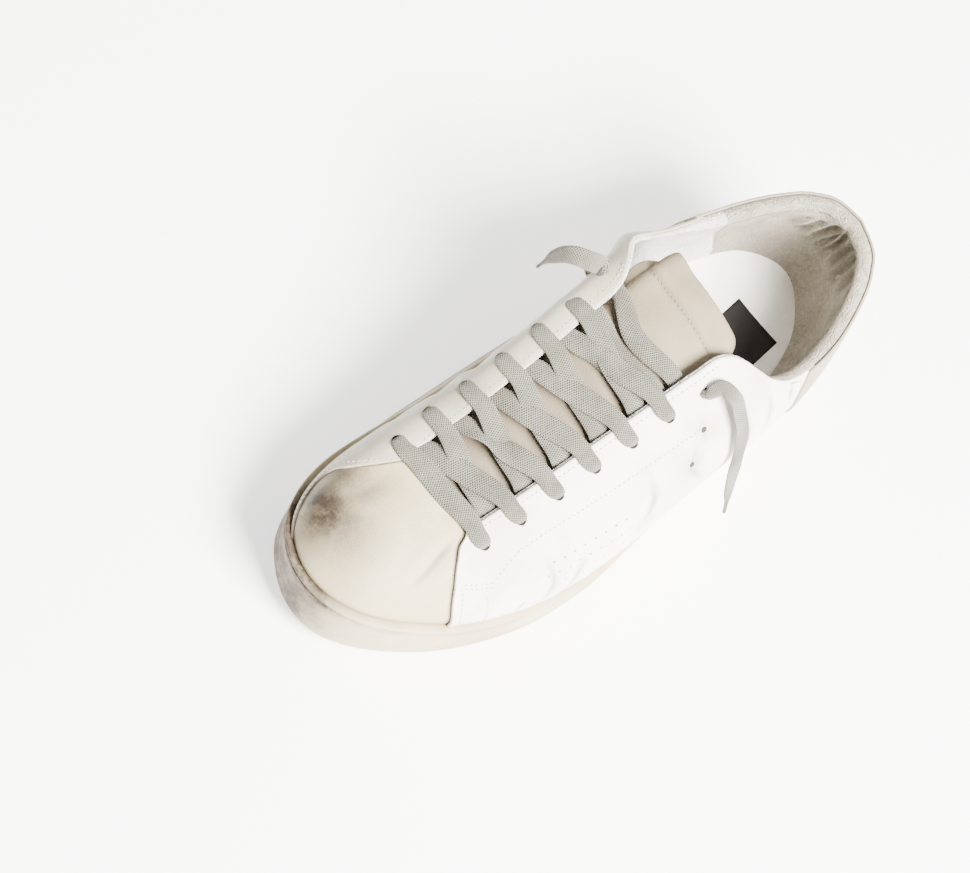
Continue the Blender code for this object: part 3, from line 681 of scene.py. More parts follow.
# %% Rubber, cloth, cotton and thread
def sole_rubber():
    g = Graph("cream_rubber", 0.62, 0.35)
    slow = g.spread(g.noise(30, 4, 0.6), 0.36, 0.66)
    base = g.blend(slow, (0.60, 0.515, 0.355), (0.48, 0.40, 0.255))
    broken = g.spread(g.noise(110, 9, 0.8), 0.28, 0.70, 0.70, 1.12)
    # The marked channel darkens the rubber: dirt, and painted shade on the inner side.
    dirt_and_shade = g.reckon("MULTIPLY", g.mark("dirt_and_shade"), broken)
    specks = g.spread(g.noise(700, 3, 0.6), 0.66, 0.76, 0, 0.22)
    held = g.reckon("MINIMUM", g.reckon("ADD", dirt_and_shade, specks), 1.0)
    g.colour(g.blend(held, base, (0.042, 0.028, 0.017)))
    scratches = g.noise(90, 5, 0.75, 0.5, g.stretched((1, 1, 9)))
    g.relief(g.noise(900, 3), 0.00012, 0.5, g.relief(scratches, 0.0006, 0.22))
    return g.material


def lining_cloth():
    g = Graph("terry_lining", 0.95, 0.15)
    pile = g.cells(1500)
    slow = g.spread(g.noise(40, 4, 0.6), 0.35, 0.68)
    cloth = g.blend(slow, (0.62, 0.565, 0.46), (0.42, 0.37, 0.285))
    speckle = g.spread(g.noise(620, 6, 0.85), 0.36, 0.62, 0.0, 0.62)
    terry = g.blend(speckle, cloth, (0.22, 0.185, 0.13))
    # The marked channel darkens the terry: painted shade low in the shoe and along the folds.
    darkened = g.blend(g.reckon("MULTIPLY", g.mark("dirt_and_shade"), 0.9), terry, (0.16, 0.13, 0.09))
    cream = g.blend(slow, (0.86, 0.84, 0.79), (0.76, 0.73, 0.66))
    g.colour(g.blend(g.mark("front"), darkened, cream))
    g.relief(pile, 0.0009, 1.0, g.relief(g.noise(240, 5, 0.7, 0.6), 0.0024, 0.75))
    g.shader.inputs["Sheen Weight"].default_value = 0.25
    return g.material


def footbed_cloth():
    g = Graph("footbed_cloth", 0.85, 0.2)
    weave = g.reckon("MULTIPLY", g.waves(420, "X"), g.waves(420, "Y"))
    slow = g.spread(g.noise(35, 4, 0.6), 0.40, 0.70)
    g.colour(g.blend(slow, (0.95, 0.94, 0.91), (0.88, 0.86, 0.80)))
    g.relief(weave, 0.00015, 0.5)
    return g.material


# How fast the slanting ribs of the tape repeat, in turns of a sine for each metre
RIBS_ALONG = 5600.0
RIBS_ACROSS = 4700.0


def lace_cotton():
    """Flat woven tape: slanting ribs that cross, from the run and the width marked on the mesh."""
    g = Graph("lace_cotton", 0.9, 0.15)
    run, width = g.mark("run"), g.mark("width")
    by_run = g.reckon("MULTIPLY", run, RIBS_ALONG)
    by_width = g.reckon("MULTIPLY", width, RIBS_ACROSS)
    right = g.reckon("SINE", g.reckon("ADD", by_run, by_width))
    left = g.reckon("SINE", g.reckon("SUBTRACT", by_run, by_width))
    weave = g.reckon("MAXIMUM", right, left)
    slow = g.spread(g.noise(70, 4, 0.6), 0.34, 0.68)
    base = g.blend(slow, (0.31, 0.30, 0.250), (0.20, 0.19, 0.150))
    thread = g.blend(g.spread(weave, -0.6, 1.0), (0.10, 0.094, 0.075), base)
    g.colour(g.blend(g.reckon("MULTIPLY", g.mark("dirt_and_shade"), 0.8), thread, (0.07, 0.058, 0.042)))
    fuzz = g.relief(g.noise(900, 5, 0.75), 0.0004, 0.7)
    g.relief(weave, 0.00036, 0.9, fuzz)
    g.shader.inputs["Sheen Weight"].default_value = 0.2
    return g.material


def thread_finish(name, colour):
    g = Graph(name, 0.75, 0.3)
    g.colour(g.blend(g.spread(g.noise(300, 3), 0.35, 0.7), colour, tuple(0.78 * c for c in colour)))
    g.relief(g.waves(1500, "DIAGONAL"), 0.0001, 0.6)
    return g.material


def dark_finish(name, colour, roughness):
    g = Graph(name, roughness, 0.3)
    g.colour(g.blend(g.noise(200, 4, 0.6), colour, tuple(1.6 * c for c in colour)))
    g.relief(g.noise(900, 3), 0.0001, 0.4)
    return g.material


cream_rubber = sole_rubber()
terry = lining_cloth()
footbed = footbed_cloth()
cotton = lace_cotton()
white_thread = thread_finish("white_thread", (0.62, 0.58, 0.50))
beige_thread = thread_finish("beige_thread", (0.30, 0.26, 0.20))
hole_shadow = dark_finish("hole_shadow", (0.035, 0.03, 0.025), 0.9)
label_black = dark_finish("label_black", (0.0045, 0.004, 0.0035), 0.6)
print("finishes ready")

# %% [markdown]
# ## The free ends of the lace
#
# A flat lace is a woven tape. Each loose end here follows a given route of points, the same as
# the plain solid's, with a width along it: pinched in the eyelet, full where it lies free, folded once
# and drawn thin towards its tip. A curve with a bevel would keep one width, so the tape is a mesh of
# cross sections set along the route.

# %% Lace tape
def smooth_path(points, count):
    points = np.array(points, float)
    runs = np.concatenate([[0], np.cumsum(np.linalg.norm(np.diff(points, axis=0), axis=1))])
    at = np.linspace(0, runs[-1], count)
    rows = [(run, *point) for run, point in zip(runs, points)]
    return np.stack([curve_through(rows, at, axis + 1) for axis in range(3)], axis=1)


SECTION_STEPS = 14


def tape(name, path, faces_up, widths, thicknesses, dirt_and_shade=0.0):
    """A flat tape with round edges along a path. Its run and width are marked for the weave."""
    tangents = np.gradient(path, axis=0)
    tangents /= np.linalg.norm(tangents, axis=1, keepdims=True)
    across = np.cross(tangents, faces_up)
    across /= np.linalg.norm(across, axis=1, keepdims=True)
    upward = np.cross(across, tangents)
    round_turns = np.arange(SECTION_STEPS) * 2 * math.pi / SECTION_STEPS
    wide = np.sign(np.cos(round_turns)) * np.abs(np.cos(round_turns)) ** 0.55 / 2
    thick = np.sign(np.sin(round_turns)) * np.abs(np.sin(round_turns)) ** 0.8 / 2
    runs = np.concatenate([[0], np.cumsum(np.linalg.norm(np.diff(path, axis=0), axis=1))])
    points, run_marks, width_marks = [], [], []
    for i in range(len(path)):
        middle_dip = -0.10 * thicknesses[i] * np.cos(wide * 2 * math.pi)
        sideways = across[i] * (wide * widths[i])[:, None]
        ring = path[i] + sideways + upward[i] * (thick * thicknesses[i] - middle_dip)[:, None]
        points.append(ring)
        run_marks.append(np.full(SECTION_STEPS, runs[i]))
        width_marks.append(wide * LACE_WIDTH)
    points = np.concatenate(points)
    faces = [tuple(f) for f in grid_faces(len(path), SECTION_STEPS, wrap=True)]
    faces.append(tuple(range(SECTION_STEPS - 1, -1, -1)))
    last = (len(path) - 1) * SECTION_STEPS
    faces.append(tuple(range(last, last + SECTION_STEPS)))
    darkening = np.full(len(points), dirt_and_shade)
    marks = [("run", np.concatenate(run_marks)), ("width", np.concatenate(width_marks)), ("dirt_and_shade", darkening)]
    return outward(mesh_object(name, points, faces, marks))


def along(table, count):
    """A width or a thickness along a tape, from a table of (share of its run, value in mm)."""
    return curve_through(table, np.linspace(0, 1, count)) * MM


def end_faces(path):
    tangents = np.gradient(path, axis=0)
    level = np.cross(tangents, np.cross([0, 0, 1.0], tangents))
    level[:, 2] = np.abs(level[:, 2])
    return level


END_STEPS = 90
LATERAL_WIDTHS = [
    (0, 4.8), (0.06, 5.8), (0.15, 7.2), (0.48, 7.2), (0.60, 5.2), (0.66, 6.6), (0.80, 6.4), (0.88, 3.4),
    (0.91, 1.8), (1, 1.5),
]
LATERAL_THICKS = [
    (0, 3.6), (0.05, 2.4), (0.12, 1.5), (0.50, 1.5), (0.60, 3.0), (0.68, 1.8), (0.88, 1.9), (0.91, 1.7),
    (1, 1.4),
]
MEDIAL_WIDTHS = [
    (0, 4.4), (0.08, 6.6), (0.22, 7.8), (0.60, 7.4), (0.76, 5.2), (0.86, 2.2), (0.90, 1.7), (1, 1.5),
]
MEDIAL_THICKS = [(0, 2.2), (0.10, 1.5), (0.80, 1.6), (0.90, 1.7), (1, 1.4)]

# %% [markdown]
# ## The sole
#
# The sole is one moulded rubber cup. Its side rises from a rounded ground edge, past a faint step, to
# a groove and a raised bead, the lip, that the upper stands behind. It is turned round the outline
# as one profile, the way a mould is cut, with more rows where the profile bends sharply. Under the toe
# the side leans in on the inner side. The tread is a shallow zigzag cut into the underside.

# %% Sole
SOLE_STEPS = 540
SIDE_ROWS = [
    (1.60, 0.000), (0.90, 0.004), (0.42, 0.022), (0.15, 0.055), (0.02, 0.100), (0.00, 0.150),
    (0.06, 0.230), (0.10, 0.295), (0.14, 0.315), (0.19, 0.335), (0.24, 0.370), (0.32, 0.460),
    (0.45, 0.620), (0.58, 0.760), (0.68, 0.862), (0.78, 0.878), (1.00, 0.890), (1.03, 0.904),
    (1.00, 0.916), (0.80, 0.928), (0.72, 0.940), (0.70, 0.958), (0.76, 0.980), (0.92, 0.994),
    (1.12, 1.000), (1.45, 0.998),
]
TREAD_DEPTH = 0.0012
TREAD_RUN = 0.0130
TREAD_CUT = 0.0028
TREAD_RISE = 0.0055
TREAD_BORDER = 0.0090
# Where the toe of the cup is most soiled, and how far that reaches
FRONT_DIRT = (0.022, 0.139)
FRONT_REACH = 0.026
INNER_RISE = ((0.0001, 0.992), (0.0005, 0.970), (0.0004, 0.930), (0.0, 0.850))


def side_inset(turns, inset, height):
    past_toe = turns - math.pi
    tucked = smooth_step(past_toe, -0.35, 0.30) * (1 - smooth_step(past_toe, 0.70, 1.30))
    flared = LIP_INSET * height * SIDE_FLARE
    tuck = LIP_INSET * SIDE_FLARE + TOE_TUCK * (1 - height)
    return ((inset - LIP_INSET * height) * SIDE_FLARE + flared + (tuck - flared) * tucked)[:, None]


def tread(points, border):
    """The underside with zigzag grooves, away from its border."""
    swing = np.abs(((points[:, 0] / TREAD_RUN) % 1.0) - 0.5) * 2 * TREAD_RISE
    place = ((points[:, 1] + swing) % (2.6 * TREAD_CUT)) / TREAD_CUT
    cut = smooth_step(place, 0.0, 0.22) * (1 - smooth_step(place, 0.85, 1.07))
    points[:, 2] += TREAD_DEPTH * cut * smooth_step(border, TREAD_BORDER, TREAD_BORDER + 0.001)
    return points


def build_sole():
    turns = np.arange(SOLE_STEPS) * 2 * math.pi / SOLE_STEPS
    rings = []
    first = inset_ring(turns, side_inset(turns, SIDE_ROWS[0][0], 0.0))
    across = first[(-np.arange(SOLE_STEPS)) % SOLE_STEPS]
    middle = (first + across) / 2
    half = np.linalg.norm(first - middle, axis=1)
    for share in np.linspace(0.0, 1.0, 34)[:-1]:
        plan = middle + (first - middle) * share
        ring = raised(plan, ground_height)
        rings.append(tread(ring, half * (1 - share)))
    for inset, height in SIDE_ROWS:
        plan = inset_ring(turns, side_inset(turns, inset, height))
        rings.append(raised(plan, lambda s, h=height: ground_height(s) + h * side_height(s)))
    for inset, height in INNER_RISE:
        plan = inset_ring(turns, CUP_WALL + GAP + inset)
        rings.append(raised(plan, lambda s, h=height: ground_height(s) + h * side_height(s)))
    rings.append(raised(inset_ring(turns, CUP_WALL), cup_floor))
    inner = inset_ring(turns, CUP_WALL)
    for share in (0.6, 0.2, 0.0):
        plan = middle + (inner - middle) * share
        rings.append(raised(plan, cup_floor))
    points = np.concatenate(rings)
    low = smooth_step(points[:, 2], 0.010, 0.0)
    share = np.clip((points[:, 1] + MIDDLE_Y) / SOLE_LENGTH, 0, 1)
    over = points[:, 2] - ground_height(share)
    groove = np.exp(-(((over / side_height(share) - 0.875) / 0.018) ** 2))
    toe = smooth_step(share, 0.90, 1.0) * smooth_step(points[:, 0], -0.02, 0.03)
    step = 0.5 * np.exp(-(((over / side_height(share) - 0.33) / 0.03) ** 2))
    # Painted shade: the inner side of the forefoot, turned away from the light, is darkened.
    inner_side_shade = 0.34 * smooth_step(points[:, 0], 0.030, 0.045) * smooth_step(share, 0.3, 0.4)
    from_front = (points[:, :2] - np.array(FRONT_DIRT)) / FRONT_REACH
    front = np.exp(-(from_front ** 2).sum(axis=1))
    darkening = 0.35 * low + 0.30 * groove + 0.30 * toe + 1.05 * front + 0.12 * step + inner_side_shade
    dirt_and_shade = np.clip(darkening + 0.05, 0, 1)
    made = mesh_object("cup_sole", points, grid_faces(len(rings), SOLE_STEPS, wrap=True), [("dirt_and_shade", dirt_and_shade)])
    return outward(made)


sole = dress(build_sole(), "cup_rubber", cream_rubber, "sole")
print("sole faces:", len(sole.data.polygons))

# %% [markdown]
# ## Leather panels
#
# The upper is sewn from a toe piece, two quarters that lie over it, and a heel patch over the quarters.
# Each panel is a sheet on the last between two seams, lifted by the thickness of what lies under it.
# Its last few rows roll down to the layer below, so its cut edge catches the light. Creases sink the
# sheet, and the same creases are marked as worn and darkened in colour: painted shade in their troughs, where
# dirt also settles.

# %% Panels
ROLL_RADIUS = 0.0009
MEAN_RADIUS = 0.12
CURL_REACH = 0.0028
SKIRT_DROP = 0.05
BACK_GAP = 0.0002


def panel(name, lines, climbs, lift, thickness, counts, rolled=(True, True, True), spots=(), curl=0.0):
    """A sheet between two seam lines.

    lines gives the first and last angle at each climb. rolled says which edges roll down: first seam,
    last seam and free edge. The last seam may curl up. Spots are (x, y, z, size, strength) in mm.
    """
    first, last = lines
    steps = np.linspace(0, 1, counts)
    span = abs(float(np.mean(last(0.5) - first(0.5)))) * MEAN_RADIUS
    edge = [x * ROLL_RADIUS / span for x in (0.0, 0.12, 0.4, 0.8)]
    steps = np.array(sorted(set(edge) | {1 - x for x in edge} | set(steps[2:-2])))
    far = np.ones_like(steps)
    near = np.minimum(steps if rolled[0] else far, 1 - steps if rolled[1] else far)
    side_roll = np.sqrt(1 - (1 - np.clip(near * span / ROLL_RADIUS, 0, 1)) ** 2)
    lifted = curl * np.exp(-(((1 - steps) * span / CURL_REACH) ** 2))
    front, behind, worn_rows, climb_rows = [], [], [], []
    for climb in climbs:
        low, high = first(climb), last(climb)
        turns = low + (high - low) * steps
        top_roll = 1.0
        if rolled[2]:
            top_roll = math.sqrt(1 - (1 - min((1 - climb) * 60, 1.0)) ** 2)
        face = upper_surface(turns, max(climb, 0.0))
        normal = surface_normals(turns, max(climb, 0.0))
        sink, worn = creased(face)
        raise_by = lift - thickness + thickness * side_roll * (0.35 + 0.65 * top_roll) + lifted
        front_row = face + normal * (raise_by - sink)[:, None]
        behind_row = face + normal * (lift - thickness - BACK_GAP - sink + lifted)[:, None]
        if climb < 0:
            front_row[:, 2] += climb * SKIRT_DROP
            behind_row[:, 2] += climb * SKIRT_DROP
        front.append(front_row)
        behind.append(behind_row)
        # Crease troughs darken as painted shade, with some dirt; the rolled cut edges darken as wear.
        worn_rows.append(np.maximum(0.65 * worn, 0.55 * (1 - side_roll)))
        climb_rows.append(np.full(len(steps), climb))
    front, behind, worn, climb = (np.array(rows) for rows in (front, behind, worn_rows, climb_rows))
    low_dirt = 0.55 * np.exp(-np.clip(climb, 0, 1) / 0.035)
    dirt_and_shade = np.maximum(worn, low_dirt)
    # Along the listed seams the panel takes a band of painted shadow.
    for line, width in SEAM_SHADOWS.get(name, ()):
        away, _ = distance_to_line(front.reshape(-1, 3), line)
        dirt_and_shade = np.maximum(dirt_and_shade, 0.9 * np.exp(-((away.reshape(dirt_and_shade.shape) / width) ** 2)))
    for x, y, z, size, strength in spots:
        away = np.linalg.norm((front - np.array([x, y, z]) * MM) / (size * MM), axis=-1)
        dirt_and_shade = np.maximum(dirt_and_shade, strength * np.exp(-(away ** 2)))
    return sheet_between(name, front, behind, [("dirt_and_shade", np.clip(dirt_and_shade, 0, 1))])


CLIMBS = np.concatenate([[-0.10, -0.03], np.linspace(0, 0.955, 74), [0.968, 0.978, 0.986, 0.992, 0.997, 1.0]])
PATCH_TURNS = (turn_at(LATERAL_PATCH, -1), turn_at(MEDIAL_PATCH, 1))

# Climb and angle of the quarters' front edges, read off the photo: they bow towards the toe
LATERAL_FRONT = [
    (0.0, 2.322), (0.20, 2.340), (0.45, 2.372), (0.59, 2.382), (0.77, 2.389), (0.864, 2.376),
    (0.97, 2.296), (1.0, 2.282),
]
MEDIAL_FRONT = [
    (0.0, 3.36), (0.09, 3.50), (0.186, 3.685), (0.276, 3.765), (0.407, 3.786), (0.598, 3.741),
    (0.764, 3.706), (0.915, 3.678), (1.0, 3.664),
]


def lateral_front(climb):
    return float(curve_through(LATERAL_FRONT, climb))


def medial_front(climb):
    return float(curve_through(MEDIAL_FRONT, climb))


def front_line(edge):
    climbs = np.linspace(0.0, 0.97, 30)
    return np.array([upper_surface(np.array([edge(climb)]), climb)[0] for climb in climbs])


# Painted shadow: a dark band on the toe piece along each quarter's front edge, where the edge stands over it.
SEAM_SHADOWS = {"toe_panel": [(front_line(lateral_front), 0.0011), (front_line(medial_front), 0.0008)]}


# How far, as an angle, each panel runs on under the next
UNDERLAP = 0.03


def under_lateral(climb):
    return lateral_front(climb) - UNDERLAP


def under_medial(climb):
    return medial_front(climb) + UNDERLAP


PATCH_BOW = 0.05


def patch_line(side):
    middle = PATCH_TURNS[0] if side < 0 else PATCH_TURNS[1]
    return lambda climb: middle - side * PATCH_BOW * np.sin(math.pi * np.clip(climb, 0, 1))


TOE_SPOTS = [
    (36, 124, 44, 16, 1.0), (31, 129, 45, 17, 1.0), (25, 126, 48, 17, 0.85), (38, 112, 44, 15, 0.95),
    (19, 133, 46, 15, 0.50), (8, 140, 42, 16, 0.30), (29, 111, 52, 13, 0.60), (-24, 132, 36, 12, 0.18),
    (44, 100, 42, 10, 0.75),
]
# Grey spots on the lateral quarter by the side vents: painted shade of the dents there, with slight dirt.
LATERAL_SHADE_SPOTS = [
    (-27, -19, 83, 5, 0.35), (-37, -12, 72, 6, 0.40), (-45, 12, 54, 6, 0.30), (-44, 30, 52, 4, 0.18),
]
MEDIAL_SPOTS = [
    (46, 92, 34, 14, 0.55), (44, 104, 34, 12, 0.75), (38, 120, 34, 13, 1.0), (30, 132, 32, 14, 1.0),
    (20, 140, 30, 14, 1.0), (4, 146, 30, 14, 0.9), (46, 60, 34, 20, 0.40), (46, 20, 32, 24, 0.35),
]
HEEL_SPOTS = [(0, -146, 40, 30, 0.35)]
TOE_THICKNESS = 0.0012
QUARTER_CURL = 0.0007
toe_lines = (under_lateral, under_medial)
lateral_lines = (lambda c: patch_line(-1)(c) - UNDERLAP, lateral_front)
medial_lines = (medial_front, lambda c: patch_line(1)(c) + UNDERLAP)
heel_lines = (lambda c: patch_line(1)(c) - 2 * math.pi, patch_line(-1))
toe = panel("toe_panel", toe_lines, CLIMBS, 0.0, TOE_THICKNESS, 300, (False, False, True), TOE_SPOTS)
lateral = panel(
    "lateral_quarter", lateral_lines, CLIMBS, OVERLAY, OVERLAY, 230, (False, True, True), LATERAL_SHADE_SPOTS,
    QUARTER_CURL,
)
medial = panel(
    "medial_quarter", medial_lines, CLIMBS, OVERLAY, OVERLAY, 250, (True, False, True), MEDIAL_SPOTS
)
heel = panel("heel_patch", heel_lines, CLIMBS, 2 * OVERLAY, OVERLAY, 190, (True, True, True), HEEL_SPOTS)
dress(toe, "toe_leather", toe_leather, "upper")
dress(lateral, "quarter_leather", white_leather)
# The medial quarter wears the painted-shade copy of the quarter leather.
dress(medial, "quarter_leather", shaded_medial_leather)
dress(heel, "heel_leather", heel_leather)
for made in (toe, lateral, medial, heel):
    print(made.name, len(made.data.polygons), "faces")

# %% [markdown]
# ## Lining and padded collar
#
# Behind the leather is a lining. Round the heel it is padded cloth, rolled outwards at the collar and
# wrinkled by the heel that pushes past it. Along the facings it is one thin layer, and its raw edge
# stands a little past the leather's. One sheet does both: its roll at the free edge is thick at the
# heel and thin at the facings. The wrinkles are folds given one by one, not a cloth simulation, because
# they were pressed in over years and don't hang.

# %% Lining
LINING_STEPS = 760
# Folds of the padding: angle from the heel (below 0 on the medial side), climb from and to, depth in mm
FOLDS = [
    (-0.62, 0.46, 0.72, 1.0), (-0.42, 0.50, 0.76, 1.2), (-0.284, 0.42, 0.74, 1.9),
    (-0.170, 0.36, 0.86, 2.2), (-0.045, 0.38, 0.80, 2.4), (0.085, 0.40, 0.86, 2.3),
    (0.205, 0.42, 0.88, 2.3), (0.305, 0.40, 0.88, 2.1), (0.430, 0.50, 0.94, 1.7), (0.60, 0.50, 0.84, 1.2),
]
FOLD_WIDTH = 0.040
FOLD_SCALE = 1.35
FOOT_INSET = 0.0030
FOOT_LIFT = 0.0020
# Share of the length where the smooth facing gives way to terry, at the sole and at the free edge
INNER_SEAM = {-1: (0.300, 0.300), 1: (0.118, 0.186)}


def fold_depth(turns, climb):
    """How deep the folds are at each angle of one climb."""
    heel_turn = (turns + math.pi) % (2 * math.pi) - math.pi
    grooves = np.zeros_like(turns)
    for place, low, high, depth in FOLDS:
        window = smooth_step(climb, low - 0.10, low + 0.06) * (1 - smooth_step(climb, high - 0.05, high + 0.08))
        lean = place + 0.10 * (climb - 0.6)
        trough = np.exp(-(((heel_turn - lean) / FOLD_WIDTH) ** 2))
        grooves = np.maximum(grooves, FOLD_SCALE * depth * MM * window * trough)
    return grooves


def lining_sheet():
    even = np.linspace(-1, 1, LINING_STEPS, endpoint=False)
    turns = (math.pi * (0.55 * even + 0.45 * even ** 3)) % (2 * math.pi)
    share = station(turns)
    side = np.where(np.sin(turns) >= 0, -1, 1)
    heel_end = np.where(side < 0, 0.355, 0.300)
    padded = 1 - smooth_step(share, heel_end - 0.12, heel_end)
    roll = 0.0009 + 0.0026 * padded
    edge = upper_surface(turns, 1.0)
    normal = surface_normals(turns, 1.0)
    up = edge - upper_surface(turns, 0.97)
    up /= np.linalg.norm(up, axis=1, keepdims=True)

    def past_seam(climb):
        low, high = (np.where(side < 0, INNER_SEAM[-1][k], INNER_SEAM[1][k]) for k in (0, 1))
        return share - low - (high - low) * climb

    rows, marks, fronts = [], [], []
    for angle in np.linspace(0, math.pi, 13):
        out = (-1 + math.cos(angle)) * roll - 0.0001 + 0.0012 * padded
        lift = roll * (math.sin(angle) - 0.9) + 0.0006
        rows.append(edge + normal * out[:, None] + up * lift[:, None])
        marks.append(np.zeros(LINING_STEPS))
        fronts.append(smooth_step(past_seam(1.0), -0.0015, 0.0015))
    for climb in np.concatenate([np.linspace(0.965, 0.05, 60), [0.0]]):
        step = 0.0007 * np.exp(-((past_seam(climb) / 0.0035) ** 2))
        fronts.append(smooth_step(past_seam(climb), -0.0015, 0.0015))
        edge_depth = 2 * roll + 0.0001 - 0.0012 * padded
        deep = 0.0026 + 0.0036 * padded * smooth_step(climb, 0.25, 0.62)
        depth = deep + (edge_depth - deep) * smooth_step(climb, 0.80, 0.97)
        grooves = fold_depth(turns, climb) * padded
        slow = 0.0005 * np.sin(turns * 17 + climb * 11) * padded * math.sin(math.pi * climb)
        face = upper_surface(turns, climb)
        rows.append(face - surface_normals(turns, climb) * (depth + slow - grooves - step)[:, None])
        # The fold troughs are darkened in colour as painted shade.
        marks.append(np.clip(grooves / 0.0024, 0, 1) * 0.70)
    high = rows[-1]
    foot = inset_ring(turns, CUP_WALL + GAP + FOOT_INSET)
    low = raised(foot, cup_floor) + np.array([0, 0, GAP + FOOT_LIFT])
    for drop in (0.3, 0.65, 1.0):
        rows.append(high + (low - high) * drop)
        fronts.append(fronts[-1])
        marks.append(np.zeros(LINING_STEPS))
    outer = []
    for climb in np.linspace(0.97, 0.0, 24):
        under = 0.0004 + 0.0015 * smooth_step(climb, 0.99, 0.90)
        outer.append(upper_surface(turns, climb) - surface_normals(turns, climb) * under)
    points = np.array(outer[::-1] + rows)
    marks = np.array([np.zeros(LINING_STEPS)] * len(outer) + marks)
    fronts = np.array([fronts[0]] * len(outer) + fronts)
    # Painted shade: the terry darkens towards the bottom of the shoe, where it lies in shadow.
    darkened = 0.42 * smooth_step(points[..., 2], 0.062, 0.030) * (1 - fronts) + 0.06
    dirt_and_shade = np.clip(darkened + marks, 0, 1)
    made = mesh_object(
        "collar_lining", points.reshape(-1, 3), grid_faces(len(points), LINING_STEPS, wrap=True),
        [("front", fronts.reshape(-1)), ("dirt_and_shade", dirt_and_shade.reshape(-1))],
    )
    bm = bmesh.new()
    bm.from_mesh(made.data)
    bmesh.ops.bridge_loops(bm, edges=[e for e in bm.edges if e.is_boundary])
    bmesh.ops.recalc_face_normals(bm, faces=bm.faces)
    bm.to_mesh(made.data)
    bm.free()
    made.data.shade_smooth()
    return made


lining = dress(lining_sheet(), "lining_cloth", terry)
print("lining faces:", len(lining.data.polygons))

# %% [markdown]
# ## Insole
#
# The insole is a thin board with a woven cover, pressed hollow by the foot. It is built from the same
# outline, inset by the walls around it, and lies on the cup's floor. A plain dark rectangle marks the
# heel, as a label would, with nothing written on it. It is a patch of its own, a tenth of a millimetre
# proud, and follows the cover's hollow.

# %% Insole and label
INSOLE_STEPS = 240
LABEL_CENTRE = (-0.0049, -0.0960)
LABEL_SIZE = (0.0256, 0.0330)
LABEL_TURN = math.radians(6.4)
RIM_INSET = CUP_WALL + GAP + 0.0016
RIM_ROLL = [(0.99, 0.0004), (1.0, 0.0012), (1.0, 0.0036)]
BOARD_BACK = 0.0038


def insole_height(x, y):
    share = np.clip((y + MIDDLE_Y) / SOLE_LENGTH, 0, 1)
    heel = np.exp(-((x + 0.002) / 0.020) ** 2 - ((y + 0.108) / 0.034) ** 2)
    ball = np.exp(-((x - 0.002) / 0.028) ** 2 - ((y - 0.045) / 0.040) ** 2)
    return cup_floor(share) + GAP + INSOLE_THICKNESS - 0.0014 * heel - 0.0012 * ball


def build_insole():
    turns = np.arange(INSOLE_STEPS) * 2 * math.pi / INSOLE_STEPS
    rim = inset_ring(turns, RIM_INSET)
    middle = (rim + rim[(-np.arange(INSOLE_STEPS)) % INSOLE_STEPS]) / 2
    rings = []
    for share, drop in [(x, 0.0) for x in np.linspace(0.0, 0.97, 26)] + RIM_ROLL:
        plan = middle + (rim - middle) * share
        x, y = plan[:, 0] - MIDDLE_X, plan[:, 1] - MIDDLE_Y
        rings.append(np.column_stack([x, y, insole_height(x, y) - drop]))
    for share in (0.6, 0.0):
        plan = middle + (rim - middle) * share
        x, y = plan[:, 0] - MIDDLE_X, plan[:, 1] - MIDDLE_Y
        rings.append(np.column_stack([x, y, insole_height(x, y) - BOARD_BACK]))
    made = mesh_object("footbed_cover", np.concatenate(rings), grid_faces(len(rings), INSOLE_STEPS, wrap=True))
    return outward(made)


def build_label():
    across = np.linspace(-0.5, 0.5, 26) * LABEL_SIZE[0]
    run = np.linspace(-0.5, 0.5, 34) * LABEL_SIZE[1]
    u, v = np.meshgrid(across, run, indexing="ij")
    x = LABEL_CENTRE[0] + u * math.cos(LABEL_TURN) - v * math.sin(LABEL_TURN)
    y = LABEL_CENTRE[1] + u * math.sin(LABEL_TURN) + v * math.cos(LABEL_TURN)
    height = insole_height(x, y)
    top = np.stack([x, y, height + 0.00012], axis=-1)
    return sheet_between("heel_label", top, top - np.array([0, 0, 0.0003]))


dress(build_insole(), "footbed", footbed, "insole")
dress(build_label(), "footbed", label_black)
print("label", [round(size / MM, 1) for size in LABEL_SIZE], "mm")

# %% [markdown]
# ## Tongue
#
# The tongue is a soft leather tab over foam, sewn under the throat and free to its tip. It follows the
# line half way between the facings and falls away to both sides. Its edges are rounded by making the
# sheet thin towards them. At the inner side of the tip the lining has curled up into a small wing.

# %% Tongue
TONGUE_ROWS = 120
TONGUE_COLUMNS = 61
TONGUE_SEAM = 0.0130
TONGUE_UP = np.array([0, 0.30, 0.95])


def facing_line(side):
    top, bottom = (0.43, 0.93) if side > 0 else (0.37, 0.82)
    turns = np.linspace(turn_at(top, side), turn_at(bottom, side), 120)
    edge = free_edge(turns)
    return edge[np.argsort(edge[:, 1])]


FACINGS = {side: facing_line(side) for side in (-1, 1)}


def facing_at(side, y):
    line = FACINGS[side]
    low = line[8]
    slope = (line[30] - low) / (line[30][1] - low[1])
    if y < low[1]:
        return low + slope * (y - low[1])
    return np.array([np.interp(y, line[:, 1], line[:, axis]) for axis in range(3)])


